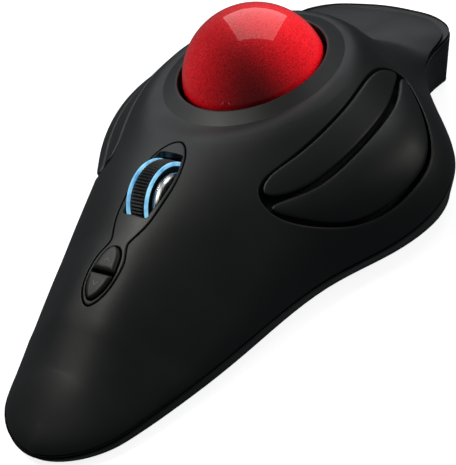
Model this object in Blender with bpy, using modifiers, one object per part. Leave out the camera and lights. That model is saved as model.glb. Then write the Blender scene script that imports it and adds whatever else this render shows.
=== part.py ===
"""Wireless trackball mouse, left-right symmetric, built as its separate pieces.

Units are metres, +Z is up, +Y points from the palm rest to the front edge, +X to the right.
The origin is under the middle of the mouse, on the surface that it stands on.
"""

import math

import bmesh
import bpy
import numpy as np
from mathutils import Matrix, Vector

MM = 0.001
GAP = 0.3 * MM

# ---------------------------------------------------------------- driving dimensions
# Ball and collar
BALL_R = 17.0 * MM
BALL_CENTRE = Vector((0, 23.7, 30.0)) * MM
OPENING_R = 17.75 * MM
COLLAR_R = 21.7 * MM
RIM_Z = 34.0 * MM
COLLAR_DROP = 1.7 * MM
COLLAR_BLEND = 6.0 * MM

# Right half of the plan outline at the seam, from the palm tip to the middle of the front edge
OUTLINE = np.array([
    (0, -74.5), (9.5, -71.5), (15, -66.5), (18, -61), (24.5, -43), (28.5, -27.5), (34, -9), (42.5, 5),
    (47, 19), (45, 29), (38.5, 37.5), (24, 53), (22, 61.5), (22.5, 67.5), (16, 72.3), (9, 73.8), (0, 74.5),
]) * MM
# The cross-sections run straight out from the spine between these two, and fan out beyond them.
TAIL_Y = -58.3 * MM
NOSE_Y = 57.7 * MM

# Profiles along Y: the ridge's height, the seam's height and the shape of the cross-section
RIDGE = np.array([
    (-58.3, 13.9), (-43.3, 21.5), (-30.3, 26.2), (-16.3, 30.7), (-4.3, 33.2), (23.7, 36.8), (43.7, 30.2),
    (57.7, 16.5),
]) * MM
SEAM = np.array([(-76, 2.5), (-26, 4.2), (13.7, 5.4), (43.7, 10.9), (68.7, 14.3)]) * MM
BELL_SHARE = np.array([(-46.3, 0.68), (-11.3, 0.08), (23.7, 0.30), (48.7, 0.45)]) * (MM, 1)
BELL_WIDTH = np.array([(-16.3, 19.8), (43.7, 32.0)]) * MM
ROUNDNESS = np.array([(-58.3, 1.65), (-26.3, 2.45), (3.7, 2.2), (28.7, 2.9), (53.7, 2.5)]) * (MM, 1)

# Shells
SHELL = 2.0 * MM
FLOOR_Z = 0.6 * MM
FLOOR = 1.5 * MM
FLOOR_TOP = FLOOR_Z + FLOOR
BASE_CHAMFER = 0.5 * MM
# How far the base's foot lies inside the seam, along Y
BASE_INSET = np.array([(-56.3, 0.7), (18.7, 2.3), (58.7, 3.6)]) * MM

# Plan outlines of what is let into the right wing
RECESS = np.array([
    (22.0, -8.6), (25.7, -10.0), (33.0, -5.0), (41.0, 5.0), (44.6, 15.5), (43.2, 25.5), (33.0, 37.0),
    (28.0, 39.8), (26.3, 36.0), (27.8, 21.0), (24.5, 3.0), (21.6, -5.0),
]) * MM
SIDE_BUTTON = np.array([
    (22.9, -7.4), (26.3, -4.5), (30.2, 2.2), (32.9, 11.0), (33.7, 20.0), (32.6, 28.0), (29.6, 35.3),
    (27.9, 37.9), (27.1, 36.0), (28.5, 21.0), (25.3, 3.2), (22.4, -4.6),
]) * MM
MAIN_BUTTON = np.array([
    (25.4, -9.1), (32.6, -4.2), (40.3, 5.5), (43.8, 15.6), (42.4, 25.2), (32.8, 36.2), (29.6, 38.4),
    (31.2, 35.2), (34.2, 28.5), (35.3, 20.0), (34.4, 10.5), (31.6, 1.5), (27.4, -5.3),
]) * MM
BUTTON_THICK = 1.6 * MM
BUTTON_RISE = 0.4 * MM
PRESS_GAP = 1.1 * MM
TRAY_DEPTH = 3.4 * MM
TRAY_THICK = 1.2 * MM
# The front end of each wing button, where it bends on its hinge
MAIN_HINGE = Vector((31.0, 36.0, 20.5)) * MM
SIDE_HINGE = Vector((28.5, 36.0, 25.0)) * MM

# Right half of the centre panel's plan outline, from its front tip to its rear tip
PANEL = np.array([
    (0, -4.8), (3.1, -6.9), (4.9, -10.6), (5.8, -16.0), (5.5, -21.0), (4.7, -26.2), (3.1, -30.0),
    (2.7, -31.7), (3.9, -34.6), (4.3, -38.8), (3.2, -43.4), (0, -46.2),
]) * MM
PANEL_DEPTH = 1.6 * MM
# Right half of the wheel's slot: narrow at the ends, wider where the hub caps stand out
SLOT = np.array([
    (0, -8.4), (3.2, -8.6), (3.5, -9.5), (4.4, -12.5), (4.4, -19.5), (3.6, -23.6), (3.3, -24.6), (0, -24.7),
]) * MM
DPI_PAIR = np.array([(0, -32.4), (2.0, -33.4), (3.1, -36.6), (3.3, -39.6), (2.3, -43.0), (0, -44.9)]) * MM
DPI_SPLIT_Y = -38.6 * MM
DPI_RISE = 0.7 * MM
DPI_DEPTH = 1.8 * MM

# Wheel
WHEEL_CENTRE = Vector((0, -15.7, 24.9)) * MM
TYRE_R = 9.0 * MM
TYRE_WIDTH = 3.7 * MM
RING_R = 8.9 * MM
RING_INNER_R = 7.9 * MM
RING_WIDTH = 0.9 * MM
HUB_R = 7.4 * MM
CAP_R = 6.6 * MM
AXLE_R = 1.0 * MM
AXLE_HALF = 7.0 * MM

# Ball cup and its three bearings
CUP_INNER_R = 17.9 * MM
CUP_OUTER_R = 19.6 * MM
CUP_TOP_Z = 28.4 * MM
BEARING_R = 1.0 * MM
BEARING_ANGLES = (90, 210, 330)
BEARING_DIP = 38
LENS_R = 2.4 * MM

# Battery, LR6 size
BATTERY_R = 7.0 * MM
BATTERY_REAR_Y = -37.5 * MM
BATTERY_FRONT_Y = 13.0 * MM
BATTERY_X = 10.0 * MM
BATTERY_Z = 9.4 * MM

# Places inside the housing
# Each screw: its place in plan, and where the shell's post starts above the base's boss
SCREW_PLACES = (
    ((18 * MM, 46 * MM), 8.2 * MM),
    ((-18 * MM, 46 * MM), 8.2 * MM),
    ((0, -60 * MM), 6.0 * MM),
)
POST_R = 2.7 * MM
FEET = (
    ("foot_front_right", (11 * MM, 63 * MM), 4.0 * MM),
    ("foot_front_left", (-11 * MM, 63 * MM), 4.0 * MM),
    ("foot_wing_right", (33 * MM, 14 * MM), 5.0 * MM),
    ("foot_wing_left", (-33 * MM, 14 * MM), 5.0 * MM),
    ("foot_rear", (0, -51 * MM), 4.5 * MM),
)
CUP_LEGS = ((12.5 * MM, 25 * MM), (-12.5 * MM, 25 * MM), (-4 * MM, 11.5 * MM))
BOARD_TOP = 6.1 * MM
WING_BOARD_Z = 5.2 * MM
WING_BOARD_THICK = 1.2 * MM
MAIN_SWITCH = (34.4 * MM, 13.6 * MM)
PLUNGER_SHIFT = 1.6 * MM
SIDE_SWITCH = (29.5 * MM, 23.5 * MM)
# Posts that hold the boards: x, y and height
BOARD_POSTS = np.array([
    (-6, -28, 11.7), (-2, -38.6, 15.4), (28, 11, 4.9), (-28, 11, 4.9), (0, 56, 4.2),
]) * MM
DOOR_AREA = ((2.4 * MM, -42.5 * MM), (17.6 * MM, 15.5 * MM))
RECEIVER_AREA = ((-22 * MM, -26 * MM), (-7 * MM, -6.5 * MM))
SWITCH_PLACE = (-14 * MM, 8 * MM)

COLOURS = {
    # slot: (red, green, blue, roughness, metallic)
    "soft_black": (0.035, 0.037, 0.040, 0.55, 0.0),
    "black_plastic": (0.018, 0.019, 0.021, 0.45, 0.0),
    "red_ball": (0.60, 0.010, 0.020, 0.06, 0.0),
    "blue_light": (0.12, 0.50, 0.95, 0.30, 0.0),
    "chrome": (0.75, 0.76, 0.78, 0.15, 1.0),
    "steel": (0.55, 0.56, 0.58, 0.30, 1.0),
    "rubber": (0.015, 0.015, 0.016, 0.80, 0.0),
    "board_green": (0.02, 0.16, 0.06, 0.50, 0.0),
    "clear": (0.80, 0.85, 0.90, 0.05, 0.0),
    "cell_wrap": (0.30, 0.32, 0.34, 0.35, 0.6),
}


# ---------------------------------------------------------------- curves and the body's surface
def spline_bend(steps, values, closed):
    """Second derivatives of the cubic spline through values at unequal steps."""
    count = len(values)
    system = np.eye(count)
    right = np.zeros_like(values)
    inner = range(count) if closed else range(1, count - 1)
    for k in inner:
        before, after = steps[k - 1], steps[k % len(steps)]
        system[k, k] = 2 * (before + after)
        system[k, k - 1] += before
        system[k, (k + 1) % count] += after
        rise = (values[(k + 1) % count] - values[k]) / after
        right[k] = 6 * (rise - (values[k] - values[k - 1]) / before)
    return np.linalg.solve(system, right)


def spline_point(values, bend, step, k, along):
    """The spline's value on span k, a distance along it."""
    end = (k + 1) % len(values)
    rest = step - along
    return (
        (bend[k] * rest**3 + bend[end] * along**3) / (6 * step)
        + (values[k] / step - bend[k] * step / 6) * rest
        + (values[end] / step - bend[end] * step / 6) * along
    )


def profile(stations):
    """A smooth function through (y, value) stations, level beyond its ends."""
    ys, values = stations[:, 0], stations[:, 1]
    steps = np.diff(ys)
    bend = spline_bend(steps, values, closed=False)

    def value_at(y):
        y = np.clip(y, ys[0], ys[-1])
        k = np.clip(np.searchsorted(ys, y, side="right") - 1, 0, len(steps) - 1)
        return spline_point(values, bend, steps[k], k, y - ys[k])

    return value_at


def smooth_loop(points, per_span):
    """A smooth closed outline through the points, with per_span points on each span."""
    steps = np.sqrt(np.linalg.norm(np.roll(points, -1, axis=0) - points, axis=1))
    bend = spline_bend(steps, points, closed=True)
    spans = [
        spline_point(points, bend, steps[k], k, steps[k] * part)
        for k in range(len(points))
        for part in np.arange(per_span) / per_span
    ]
    return np.array(spans)


def mirrored_loop(half, per_span):
    """A closed outline, symmetric about X = 0, through a right half that starts and ends there."""
    return smooth_loop(np.vstack([half, half[-2:0:-1] * (-1, 1)]), per_span)


def right_half(half, per_span):
    """The right half of mirrored_loop, with both of its ends on X = 0."""
    return mirrored_loop(half, per_span)[: (len(half) - 1) * per_span + 1]


BODY_EDGE = right_half(OUTLINE, 24)
BODY_EDGE[0, 0] = BODY_EDGE[-1, 0] = 0
ridge_z = profile(RIDGE)
seam_z = profile(SEAM)
bell_share = profile(BELL_SHARE)
bell_width = profile(BELL_WIDTH)
roundness = profile(ROUNDNESS)


def half_width(y):
    return np.interp(y, BODY_EDGE[:, 1], BODY_EDGE[:, 0])


def across(part, width, y):
    """Height of the cross-section, 1 on the spine and 0 at the seam; part is 0 to 1 of the way out."""
    dome = np.sqrt(np.clip(1 - np.clip(part, 0, 1) ** roundness(y), 0, 1))
    bell = np.exp(-((part * width / bell_width(y)) ** 2))
    share = bell_share(y)
    return dome * ((1 - share) + share * bell)


def collared(points):
    """Runs the surface into the cone of the collar round the ball."""
    away = points[..., :2] - np.array(BALL_CENTRE[:2])
    radius = np.linalg.norm(away, axis=-1)
    slope = COLLAR_DROP / (COLLAR_R - OPENING_R)
    cone_z = RIM_Z - slope * (np.clip(radius, OPENING_R, COLLAR_R) - OPENING_R)
    share = np.exp(-((np.clip(radius - COLLAR_R, 0, None) / COLLAR_BLEND) ** 2))
    joined = points.copy()
    joined[..., 2] += (cone_z - points[..., 2]) * share
    return joined


def surface(edge, parts):
    """Points of the body's outer surface, one row for each edge point, from the spine to the seam."""
    spine_y = np.clip(edge[:, 1], TAIL_Y, NOSE_Y)
    spine = np.column_stack([np.zeros(len(edge)), spine_y])
    plan = spine[:, None] + parts[None, :, None] * (edge - spine)[:, None]
    width = np.linalg.norm(edge - spine, axis=1)[:, None]
    low = seam_z(edge[:, 1])[:, None]
    section_y = np.clip(plan[..., 1], TAIL_Y, NOSE_Y)
    height = low + (ridge_z(spine_y)[:, None] - low) * across(parts[None, :], width, section_y)
    return collared(np.concatenate([plan, height[..., None]], axis=-1))


def outward(grid):
    """Unit normals of a surface grid, pointing out of the body."""
    along = np.gradient(grid, axis=0)
    out = np.gradient(grid, axis=1)
    normal = np.cross(out, along)
    normal[..., 0][grid[..., 0] == 0] = 0
    length = np.linalg.norm(normal, axis=-1, keepdims=True)
    return normal / np.maximum(length, 1e-12)


def top_z(x, y):
    """Height of the outer surface over one point."""
    part = np.array([abs(x) / half_width(y)])
    edge = np.array([[half_width(y), y]])
    return float(surface(edge, part)[0, 0, 2])


def below(x, y, depth):
    """Height of the point straight under (x, y) whose distance from the outer surface is depth."""
    step = 0.5 * MM
    slope_x = (top_z(x + step, y) - top_z(x - step, y)) / (2 * step)
    slope_y = (top_z(x, y + step) - top_z(x, y - step)) / (2 * step)
    return top_z(x, y) - depth * math.sqrt(1 + slope_x**2 + slope_y**2)


def plan_inset(loop, distance):
    """The loop moved sideways in plan, to the left of its direction."""
    along = np.gradient(loop, axis=0)
    side = np.column_stack([-along[:, 1], along[:, 0]])
    return loop + side / np.linalg.norm(side, axis=1)[:, None] * distance


# ---------------------------------------------------------------- Blender helpers
def clear_scene():
    for obj in list(bpy.data.objects):
        bpy.data.objects.remove(obj, do_unlink=True)


def make_collection(name):
    collection = bpy.data.collections.new(name)
    bpy.context.scene.collection.children.link(collection)
    return collection


def make_material(name, red, green, blue, roughness_value, metallic):
    material = bpy.data.materials.new(name)
    material.use_nodes = True
    shader = material.node_tree.nodes["Principled BSDF"]
    shader.inputs["Base Color"].default_value = (red, green, blue, 1)
    shader.inputs["Roughness"].default_value = roughness_value
    shader.inputs["Metallic"].default_value = metallic
    material.diffuse_color = (red, green, blue, 1)
    return material


def make_object(name, bm, slot, origin=(0, 0, 0)):
    """A sub-part from a bmesh in world coordinates, with its origin moved to where it pivots."""
    mesh = bpy.data.meshes.new(name)
    bmesh.ops.translate(bm, verts=bm.verts, vec=-Vector(origin))
    bm.to_mesh(mesh)
    bm.free()
    obj = bpy.data.objects.new(name, mesh)
    obj.location = origin
    if slot is None:
        obj.hide_render = True
        obj.display_type = "WIRE"
        cutters.objects.link(obj)
    else:
        mesh.materials.append(materials[slot])
        parts_collection.objects.link(obj)
        mesh.shade_smooth()
        mesh.set_sharp_from_angle(angle=math.radians(35))
    return obj


def box(name, low, high, slot=None, origin=(0, 0, 0), turn=None):
    """A box between two corners; turn is a matrix that places it."""
    low, high = Vector(low), Vector(high)
    bm = bmesh.new()
    place = Matrix.Translation((low + high) / 2) @ Matrix.Diagonal((high - low).to_4d())
    place[3][3] = 1
    bmesh.ops.create_cube(bm, size=1, matrix=(turn or Matrix()) @ place)
    return make_object(name, bm, slot, origin)


def cylinder(name, radius, start, end, slot=None, origin=(0, 0, 0), sides=32, end_radius=None):
    """A cylinder or a cone between two points."""
    start, end = Vector(start), Vector(end)
    axis = end - start
    turn = axis.to_track_quat("Z", "Y").to_matrix().to_4x4()
    bm = bmesh.new()
    bmesh.ops.create_cone(
        bm, cap_ends=True, segments=sides, radius1=radius, depth=axis.length,
        radius2=radius if end_radius is None else end_radius,
        matrix=Matrix.Translation((start + end) / 2) @ turn,
    )
    return make_object(name, bm, slot, origin)


def sphere(name, radius, centre, slot=None, around=32, rings=16):
    bm = bmesh.new()
    bmesh.ops.create_uvsphere(
        bm, u_segments=around, v_segments=rings, radius=radius, matrix=Matrix.Translation(centre)
    )
    return make_object(name, bm, slot, (0, 0, 0))


def turned(name, outline, centre, slot, axis="Z", sides=28):
    """An outline of (radius, height) points turned round an axis through centre.

    An outline that starts on the axis also ends there; any other is closed.
    """
    bm = bmesh.new()
    corners = [bm.verts.new((radius, 0, height)) for radius, height in outline]
    ahead = corners[1:] if outline[0][0] == 0 else corners[1:] + corners[:1]
    for first, second in zip(corners, ahead):
        bm.edges.new((first, second))
    obj = make_object(name, bm, slot, (0, 0, 0))
    obj.location = centre
    if axis == "X":
        obj.rotation_euler = (0, math.radians(90), 0)
    screw = obj.modifiers.new("Turn", "SCREW")
    screw.axis = "Z"
    screw.steps = sides
    screw.render_steps = sides
    screw.use_merge_vertices = True
    screw.merge_threshold = 0.00001
    return obj


def prism(name, loop, low, high, slot=None):
    """A plan outline pulled up from one height to another."""
    bm = bmesh.new()
    face = bm.faces.new([bm.verts.new((x, y, low)) for x, y in loop])
    grown = bmesh.ops.extrude_face_region(bm, geom=[face])
    lifted = [item for item in grown["geom"] if isinstance(item, bmesh.types.BMVert)]
    bmesh.ops.translate(bm, verts=lifted, vec=(0, 0, high - low))
    bmesh.ops.recalc_face_normals(bm, faces=bm.faces)
    return make_object(name, bm, slot)


def boolean(obj, other, operation):
    modifier = obj.modifiers.new(operation.title(), "BOOLEAN")
    modifier.operation = operation
    modifier.object = other


def cut(obj, *tools):
    for tool in tools:
        boolean(obj, tool, "DIFFERENCE")


def add(obj, *others):
    for other in others:
        boolean(obj, other, "UNION")


def keep_inside(obj, tool):
    boolean(obj, tool, "INTERSECT")


def grid_bmesh(grid, flip=False):
    """An open sheet through a grid of points, with points that coincide made one."""
    bm = bmesh.new()
    rows = [[bm.verts.new(point) for point in row] for row in grid]
    for first, second in zip(rows, rows[1:]):
        for a, b, c, d in zip(first, first[1:], second[1:], second):
            bm.faces.new((d, c, b, a) if flip else (a, b, c, d))
    bmesh.ops.remove_doubles(bm, verts=bm.verts, dist=0.00001)
    bmesh.ops.dissolve_degenerate(bm, edges=bm.edges, dist=0.000001)
    return bm


def skin(name, grid, depth, thickness, slot=None, mirror=False, flip=False):
    """A wall that follows the body's surface at a depth below it (a negative depth stands proud)."""
    sheet = grid - outward(grid) * np.asarray(depth)
    obj = make_object(name, grid_bmesh(sheet, flip), slot)
    if mirror:
        halves = obj.modifiers.new("Halves", "MIRROR")
        halves.merge_threshold = 0.00001
    wall = obj.modifiers.new("Wall", "SOLIDIFY")
    wall.thickness = thickness
    wall.offset = -1
    return obj


def body_patch(loop, columns, inner_part, outer_part, rows, margin=3.0 * MM):
    """A surface grid that covers a plan outline on the right side."""
    low, high = loop[:, 1].min() - margin, loop[:, 1].max() + margin
    ys = np.linspace(low, high, columns)
    edge = np.column_stack([half_width(ys), ys])
    return surface(edge, np.linspace(inner_part, outer_part, rows))


def loop_distance(points, loop):
    """Plan distance from each point to the nearest point of a loop."""
    gaps = np.linalg.norm(points[..., None, :2] - loop, axis=-1)
    return gaps.min(axis=-1)


def sides():
    """The two sides: a word for names, and the sign of X."""
    return (("right", 1), ("left", -1))


def on_side(loop, sign):
    """A right-side outline moved to the given side, still running the same way round."""
    return loop if sign > 0 else (loop * (-1, 1))[::-1]


# ---------------------------------------------------------------- shells
def top_shell():
    edge = BODY_EDGE[::12]
    parts = np.sin(np.linspace(0, 1, 9) * math.pi / 2)
    grid = surface(edge, parts)
    grid[:, -1, 2] -= 0.5 * MM
    shell = skin("top_shell", grid, 0, SHELL, "soft_black", mirror=True)
    wide = edge * 1.05
    cut(shell, half_block("cut_seam", [(wide, -0.01), (wide, seam_z(wide[:, 1]) + 0.5 * GAP)]))
    cut(shell, cylinder("cut_ball_hole", OPENING_R, BALL_CENTRE, BALL_CENTRE + Vector((0, 0, 0.03)), sides=48))
    for word, sign in sides():
        loop = smooth_loop(on_side(RECESS, sign), 4)
        cut(shell, prism("cut_recess_" + word, loop, 0.008, 0.04))
    cut(shell, prism("cut_panel", mirrored_loop(PANEL, 3), 0.008, 0.05))
    for (x, y), post_low in SCREW_PLACES:
        around = [(x - POST_R, y), (x + POST_R, y), (x, y - POST_R), (x, y + POST_R)]
        high = min(top_z(*point) for point in around) - 0.6 * MM
        add(shell, cylinder("add_post", POST_R, (x, y, post_low + 0.5 * MM), (x, y, high), sides=16))
        cut(shell, cylinder("cut_post", 1.5 * MM, (x, y, post_low), (x, y, post_low + 5.3 * MM), sides=12))
    return shell


def half_block(name, levels, slot=None):
    """A closed block symmetric about X = 0, through right-half plan loops, each with its heights."""
    bm = bmesh.new()
    rings = [
        [bm.verts.new((max(x, 0), y, z)) for (x, y), z in zip(loop, np.broadcast_to(heights, len(loop)))]
        for loop, heights in levels
    ]
    for low, high in zip(rings, rings[1:]):
        for a, b, c, d in zip(low, low[1:], high[1:], high):
            bm.faces.new((a, b, c, d))
    for ring, upward in ((rings[0], False), (rings[-1], True)):
        spine = [ring[0]] + [bm.verts.new((0, vert.co.y, vert.co.z)) for vert in ring[1:-1]] + [ring[-1]]
        for a, b, c, d in zip(ring, ring[1:], spine[1:], spine):
            corners = [a, b, c, d]
            corners = [vert for k, vert in enumerate(corners) if vert not in corners[:k]]
            bm.faces.new(corners if upward else corners[::-1])
    bmesh.ops.recalc_face_normals(bm, faces=bm.faces)
    obj = make_object(name, bm, slot)
    halves = obj.modifiers.new("Halves", "MIRROR")
    halves.merge_threshold = 0.00001
    return obj


def base_loops(edge, extra):
    """The base wall's plan loops at the floor and at the seam, moved in by extra."""
    foot_inset = np.interp(edge[:, 1], BASE_INSET[:, 0], BASE_INSET[:, 1])[:, None]
    along = np.gradient(edge, axis=0)
    along[0] = along[-1] = (1, 0)
    side = np.column_stack([-along[:, 1], along[:, 0]])
    side /= np.linalg.norm(side, axis=1)[:, None]
    side[-1] = (0, -1)
    side[0] = (0, 1)
    return edge + side * (foot_inset + extra), edge + side * extra, side


def base_shell():
    edge = BODY_EDGE[::12]
    top = seam_z(edge[:, 1]) - 0.5 * GAP
    foot, rim, side = base_loops(edge, 0)
    block = [
        (foot + side * BASE_CHAMFER, FLOOR_Z), (foot, FLOOR_Z + BASE_CHAMFER), (rim, top),
    ]
    shell = half_block("base_shell", block, "soft_black")
    foot, rim, side = base_loops(edge, SHELL)
    hollow = half_block("cut_base", [(foot, FLOOR_TOP), (rim, top), (rim, top + 0.02)])
    cut(shell, hollow)
    for place, post_low in SCREW_PLACES:
        boss = cylinder("add_boss", 4.2 * MM, (*place, FLOOR_TOP - 0.5 * MM), (*place, post_low), sides=16)
        add(shell, boss)
        cut(
            shell,
            cylinder("cut_boss", 1.5 * MM, (*place, 0), (*place, 0.02), sides=12),
            cylinder("cut_head", 2.9 * MM, (*place, 0), (*place, 3.4 * MM), sides=16),
        )
    for number, (x, y, high) in enumerate(BOARD_POSTS):
        add(shell, cylinder(f"add_stand_{number}", 1.8 * MM, (x, y, FLOOR_TOP - 0.5 * MM), (x, y, high), sides=10))
    for _, place, radius in FEET:
        cut(shell, cylinder("cut_foot", radius + GAP, (*place, 0), (*place, 1.2 * MM), sides=24))
    (low_x, low_y), (high_x, high_y) = DOOR_AREA
    cut(shell, box("cut_door", (low_x, low_y, 0), (high_x, high_y, FLOOR_TOP + 1 * MM)))
    (low_x, low_y), (high_x, high_y) = RECEIVER_AREA
    cut(shell, box("cut_receiver", (low_x, low_y, 0), (high_x, high_y, 0.004)))
    x, y = SWITCH_PLACE
    cut(shell, box("cut_switch", (x - 2.5 * MM, y - 2 * MM, 0), (x + 5.5 * MM, y + 2 * MM, 0.004)))
    return shell


# ---------------------------------------------------------------- ball, cup and sensor
def trackball():
    ball = sphere("trackball", BALL_R, (0, 0, 0), "red_ball")
    ball.location = BALL_CENTRE
    return ball


def bearing_centre(angle):
    reach = BALL_R + 0.15 * MM + BEARING_R
    dip = math.radians(BEARING_DIP)
    turn = math.radians(angle)
    flat = reach * math.cos(dip)
    return BALL_CENTRE + Vector((flat * math.cos(turn), flat * math.sin(turn), -reach * math.sin(dip)))


def arc(radius, start_deg, end_deg, count):
    """(radius, height) points on an arc about the ball's centre, angles below the horizontal."""
    angles = np.radians(np.linspace(start_deg, end_deg, count))
    return [(radius * math.cos(a), -radius * math.sin(a)) for a in angles]


def ball_cup():
    top_dip = math.degrees(math.asin((BALL_CENTRE.z - CUP_TOP_Z) / CUP_OUTER_R))
    inner_dip = math.degrees(math.asin((BALL_CENTRE.z - CUP_TOP_Z) / CUP_INNER_R))
    window = math.degrees(math.acos((LENS_R + 0.8 * MM) / CUP_INNER_R))
    outer_window = math.degrees(math.acos((LENS_R + 0.8 * MM) / CUP_OUTER_R))
    wall = arc(CUP_OUTER_R, top_dip, outer_window, 5) + arc(CUP_INNER_R, window, inner_dip, 5)
    cup = turned("ball_cup", wall, BALL_CENTRE, "black_plastic", sides=24)
    for x, y in CUP_LEGS:
        reach = math.hypot(x, y - BALL_CENTRE.y)
        middle = (CUP_OUTER_R + CUP_INNER_R) / 2 + 0.2 * MM
        high = BALL_CENTRE.z - math.sqrt(middle**2 - reach**2)
        add(cup, cylinder("add_leg", 2.0 * MM, (x, y, FLOOR_TOP + GAP), (x, y, high), sides=12))
    for angle in BEARING_ANGLES:
        cut(cup, sphere("cut_bearing", BEARING_R + 0.15 * MM, bearing_centre(angle), None, 12, 6))
    return cup


def ball_bearings():
    for number, angle in enumerate(BEARING_ANGLES, start=1):
        sphere(f"ball_bearing_{number}", BEARING_R, bearing_centre(angle), "steel", 12, 6)


def sensor():
    x, y = BALL_CENTRE.x, BALL_CENTRE.y
    cylinder("sensor_lens", LENS_R, (x, y, 8.7 * MM), (x, y, 11.6 * MM), "clear", sides=24, end_radius=1.8 * MM)
    box(
        "optical_sensor", (x - 5 * MM, y - 5 * MM, BOARD_TOP + GAP), (x + 5 * MM, y + 5 * MM, 8.4 * MM),
        "black_plastic",
    )
    box("main_board", (-9 * MM, 16 * MM, BOARD_TOP - 1.6 * MM), (9 * MM, 60 * MM, BOARD_TOP), "board_green")


# ---------------------------------------------------------------- wing buttons
def wing_patch(loop, sign, columns=11, rows=7):
    grid = body_patch(loop, columns, 0.42, 0.985, rows)
    return grid * (sign, 1, 1)


def button(name, half_loop, sign, rise, hinge):
    loop = smooth_loop(half_loop, 4)
    grid = wing_patch(loop, 1)
    raised = (grid + outward(grid) * rise) * (sign, 1, 1)
    plate = skin(name, raised, 0, BUTTON_THICK, "soft_black", flip=sign < 0)
    keep_inside(plate, prism("keep_" + name, smooth_loop(on_side(half_loop, sign), 4), 0.004, 0.05))
    pivot = hinge * Vector((sign, 1, 1))
    plate.data.transform(Matrix.Translation(-pivot))
    plate.location = pivot


def button_tray(word, sign):
    wide = plan_inset(smooth_loop(RECESS, 4), -1.0 * MM)
    grid = wing_patch(wide, 1)
    sunk = grid - outward(grid) * TRAY_DEPTH
    tray = skin("button_tray_" + word, sunk * (sign, 1, 1), 0, TRAY_THICK, "black_plastic", flip=sign < 0)
    keep_inside(tray, prism("keep_tray_" + word, on_side(wide, sign), 0.004, 0.05))
    main_x, main_y = MAIN_SWITCH
    for x, y, radius in ((main_x + PLUNGER_SHIFT, main_y, 2.0 * MM), (*SIDE_SWITCH, 2.0 * MM)):
        cut(tray, cylinder("cut_tray", radius, (sign * x, y, 0), (sign * x, y, 0.04), sides=16))
    return tray


def wing_controls():
    for word, sign in sides():
        button("main_button_" + word, MAIN_BUTTON, sign, BUTTON_RISE, MAIN_HINGE)
        button("side_button_" + word, SIDE_BUTTON, sign, 0.2 * MM, SIDE_HINGE)
        button_tray(word, sign)
        wing_switches(word, sign)


def wing_switches(word, sign):
    """A small board in the wing with the two switches that the buttons press."""
    low_x, high_x = sorted((sign * 25 * MM, sign * 37.5 * MM))
    low, high = WING_BOARD_Z, WING_BOARD_Z + WING_BOARD_THICK
    box("switch_board_" + word, (low_x, 6 * MM, low), (high_x, 28 * MM, high), "board_green")
    low = high + GAP
    x, y = sign * MAIN_SWITCH[0], MAIN_SWITCH[1]
    wing_switch("main_switch_" + word, x, y, (2.3 * MM, 4.8 * MM), low, low + 4.8 * MM, 1.0 * MM, sign * PLUNGER_SHIFT)
    x, y = sign * SIDE_SWITCH[0], SIDE_SWITCH[1]
    wing_switch("side_switch_" + word, x, y, (3.0 * MM, 3.0 * MM), low, low + 5.5 * MM, 1.0 * MM, 0)


def wing_switch(name, x, y, half, low, high, plunger_r, plunger_shift):
    """A switch body with a plunger that ends just under its button."""
    switch = box(name, (x - half[0], y - half[1], low), (x + half[0], y + half[1], high), "black_plastic")
    at = (x + plunger_shift, y)
    tip = below(*at, BUTTON_THICK) - PRESS_GAP
    add(switch, cylinder("add_plunger", plunger_r, (*at, high - 1 * MM), (*at, tip), sides=12))


# ---------------------------------------------------------------- centre panel and its two buttons
def spine_patch(low_y, high_y, columns, outer_part, rows):
    ys = np.linspace(low_y, high_y, columns)
    edge = np.column_stack([half_width(ys), ys])
    return surface(edge, np.linspace(0, outer_part, rows))


def centre_panel():
    grid = spine_patch(-50 * MM, -1 * MM, 15, 0.30, 5)
    panel = skin("centre_panel", grid, 0, PANEL_DEPTH, "soft_black", mirror=True)
    keep_inside(panel, prism("keep_panel", shrunk(mirrored_loop(PANEL, 3), GAP), 0.008, 0.05))
    cut(
        panel,
        prism("cut_slot", np.vstack([SLOT, SLOT[-2:0:-1] * (-1, 1)]), 0.008, 0.05),
        prism("cut_dpi", mirrored_loop(DPI_PAIR, 3), 0.008, 0.05),
    )
    return panel


def shrunk(loop, distance):
    """A closed loop moved towards its inside."""
    ahead = np.roll(loop, -1, axis=0) - np.roll(loop, 1, axis=0)
    side = np.column_stack([-ahead[:, 1], ahead[:, 0]]) / np.linalg.norm(ahead, axis=1)[:, None]
    turning = np.sum(loop[:, 0] * np.roll(loop[:, 1], -1) - np.roll(loop[:, 0], -1) * loop[:, 1])
    return loop + side * distance * np.sign(turning)


def dpi_buttons():
    loop = shrunk(mirrored_loop(DPI_PAIR, 3), GAP)
    for name, low_y, high_y in (
        ("dpi_button_up", DPI_SPLIT_Y + 0.35 * MM, loop[:, 1].max()),
        ("dpi_button_down", loop[:, 1].min(), DPI_SPLIT_Y - 0.35 * MM),
    ):
        grid = spine_patch(low_y - 2 * MM, high_y + 2 * MM, 7, 0.24, 5)
        edge_round = np.clip(loop_distance(grid, loop) / (2 * MM), 0, 1)[..., None]
        raised = grid + outward(grid) * DPI_RISE * edge_round
        key = skin(name, raised, 0, DPI_DEPTH + DPI_RISE, "soft_black", mirror=True)
        keep_inside(key, prism("keep_" + name, loop, 0.008, 0.05))
        keep_inside(key, box("half_" + name, (-0.01, low_y, 0.008), (0.01, high_y, 0.05)))


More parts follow.
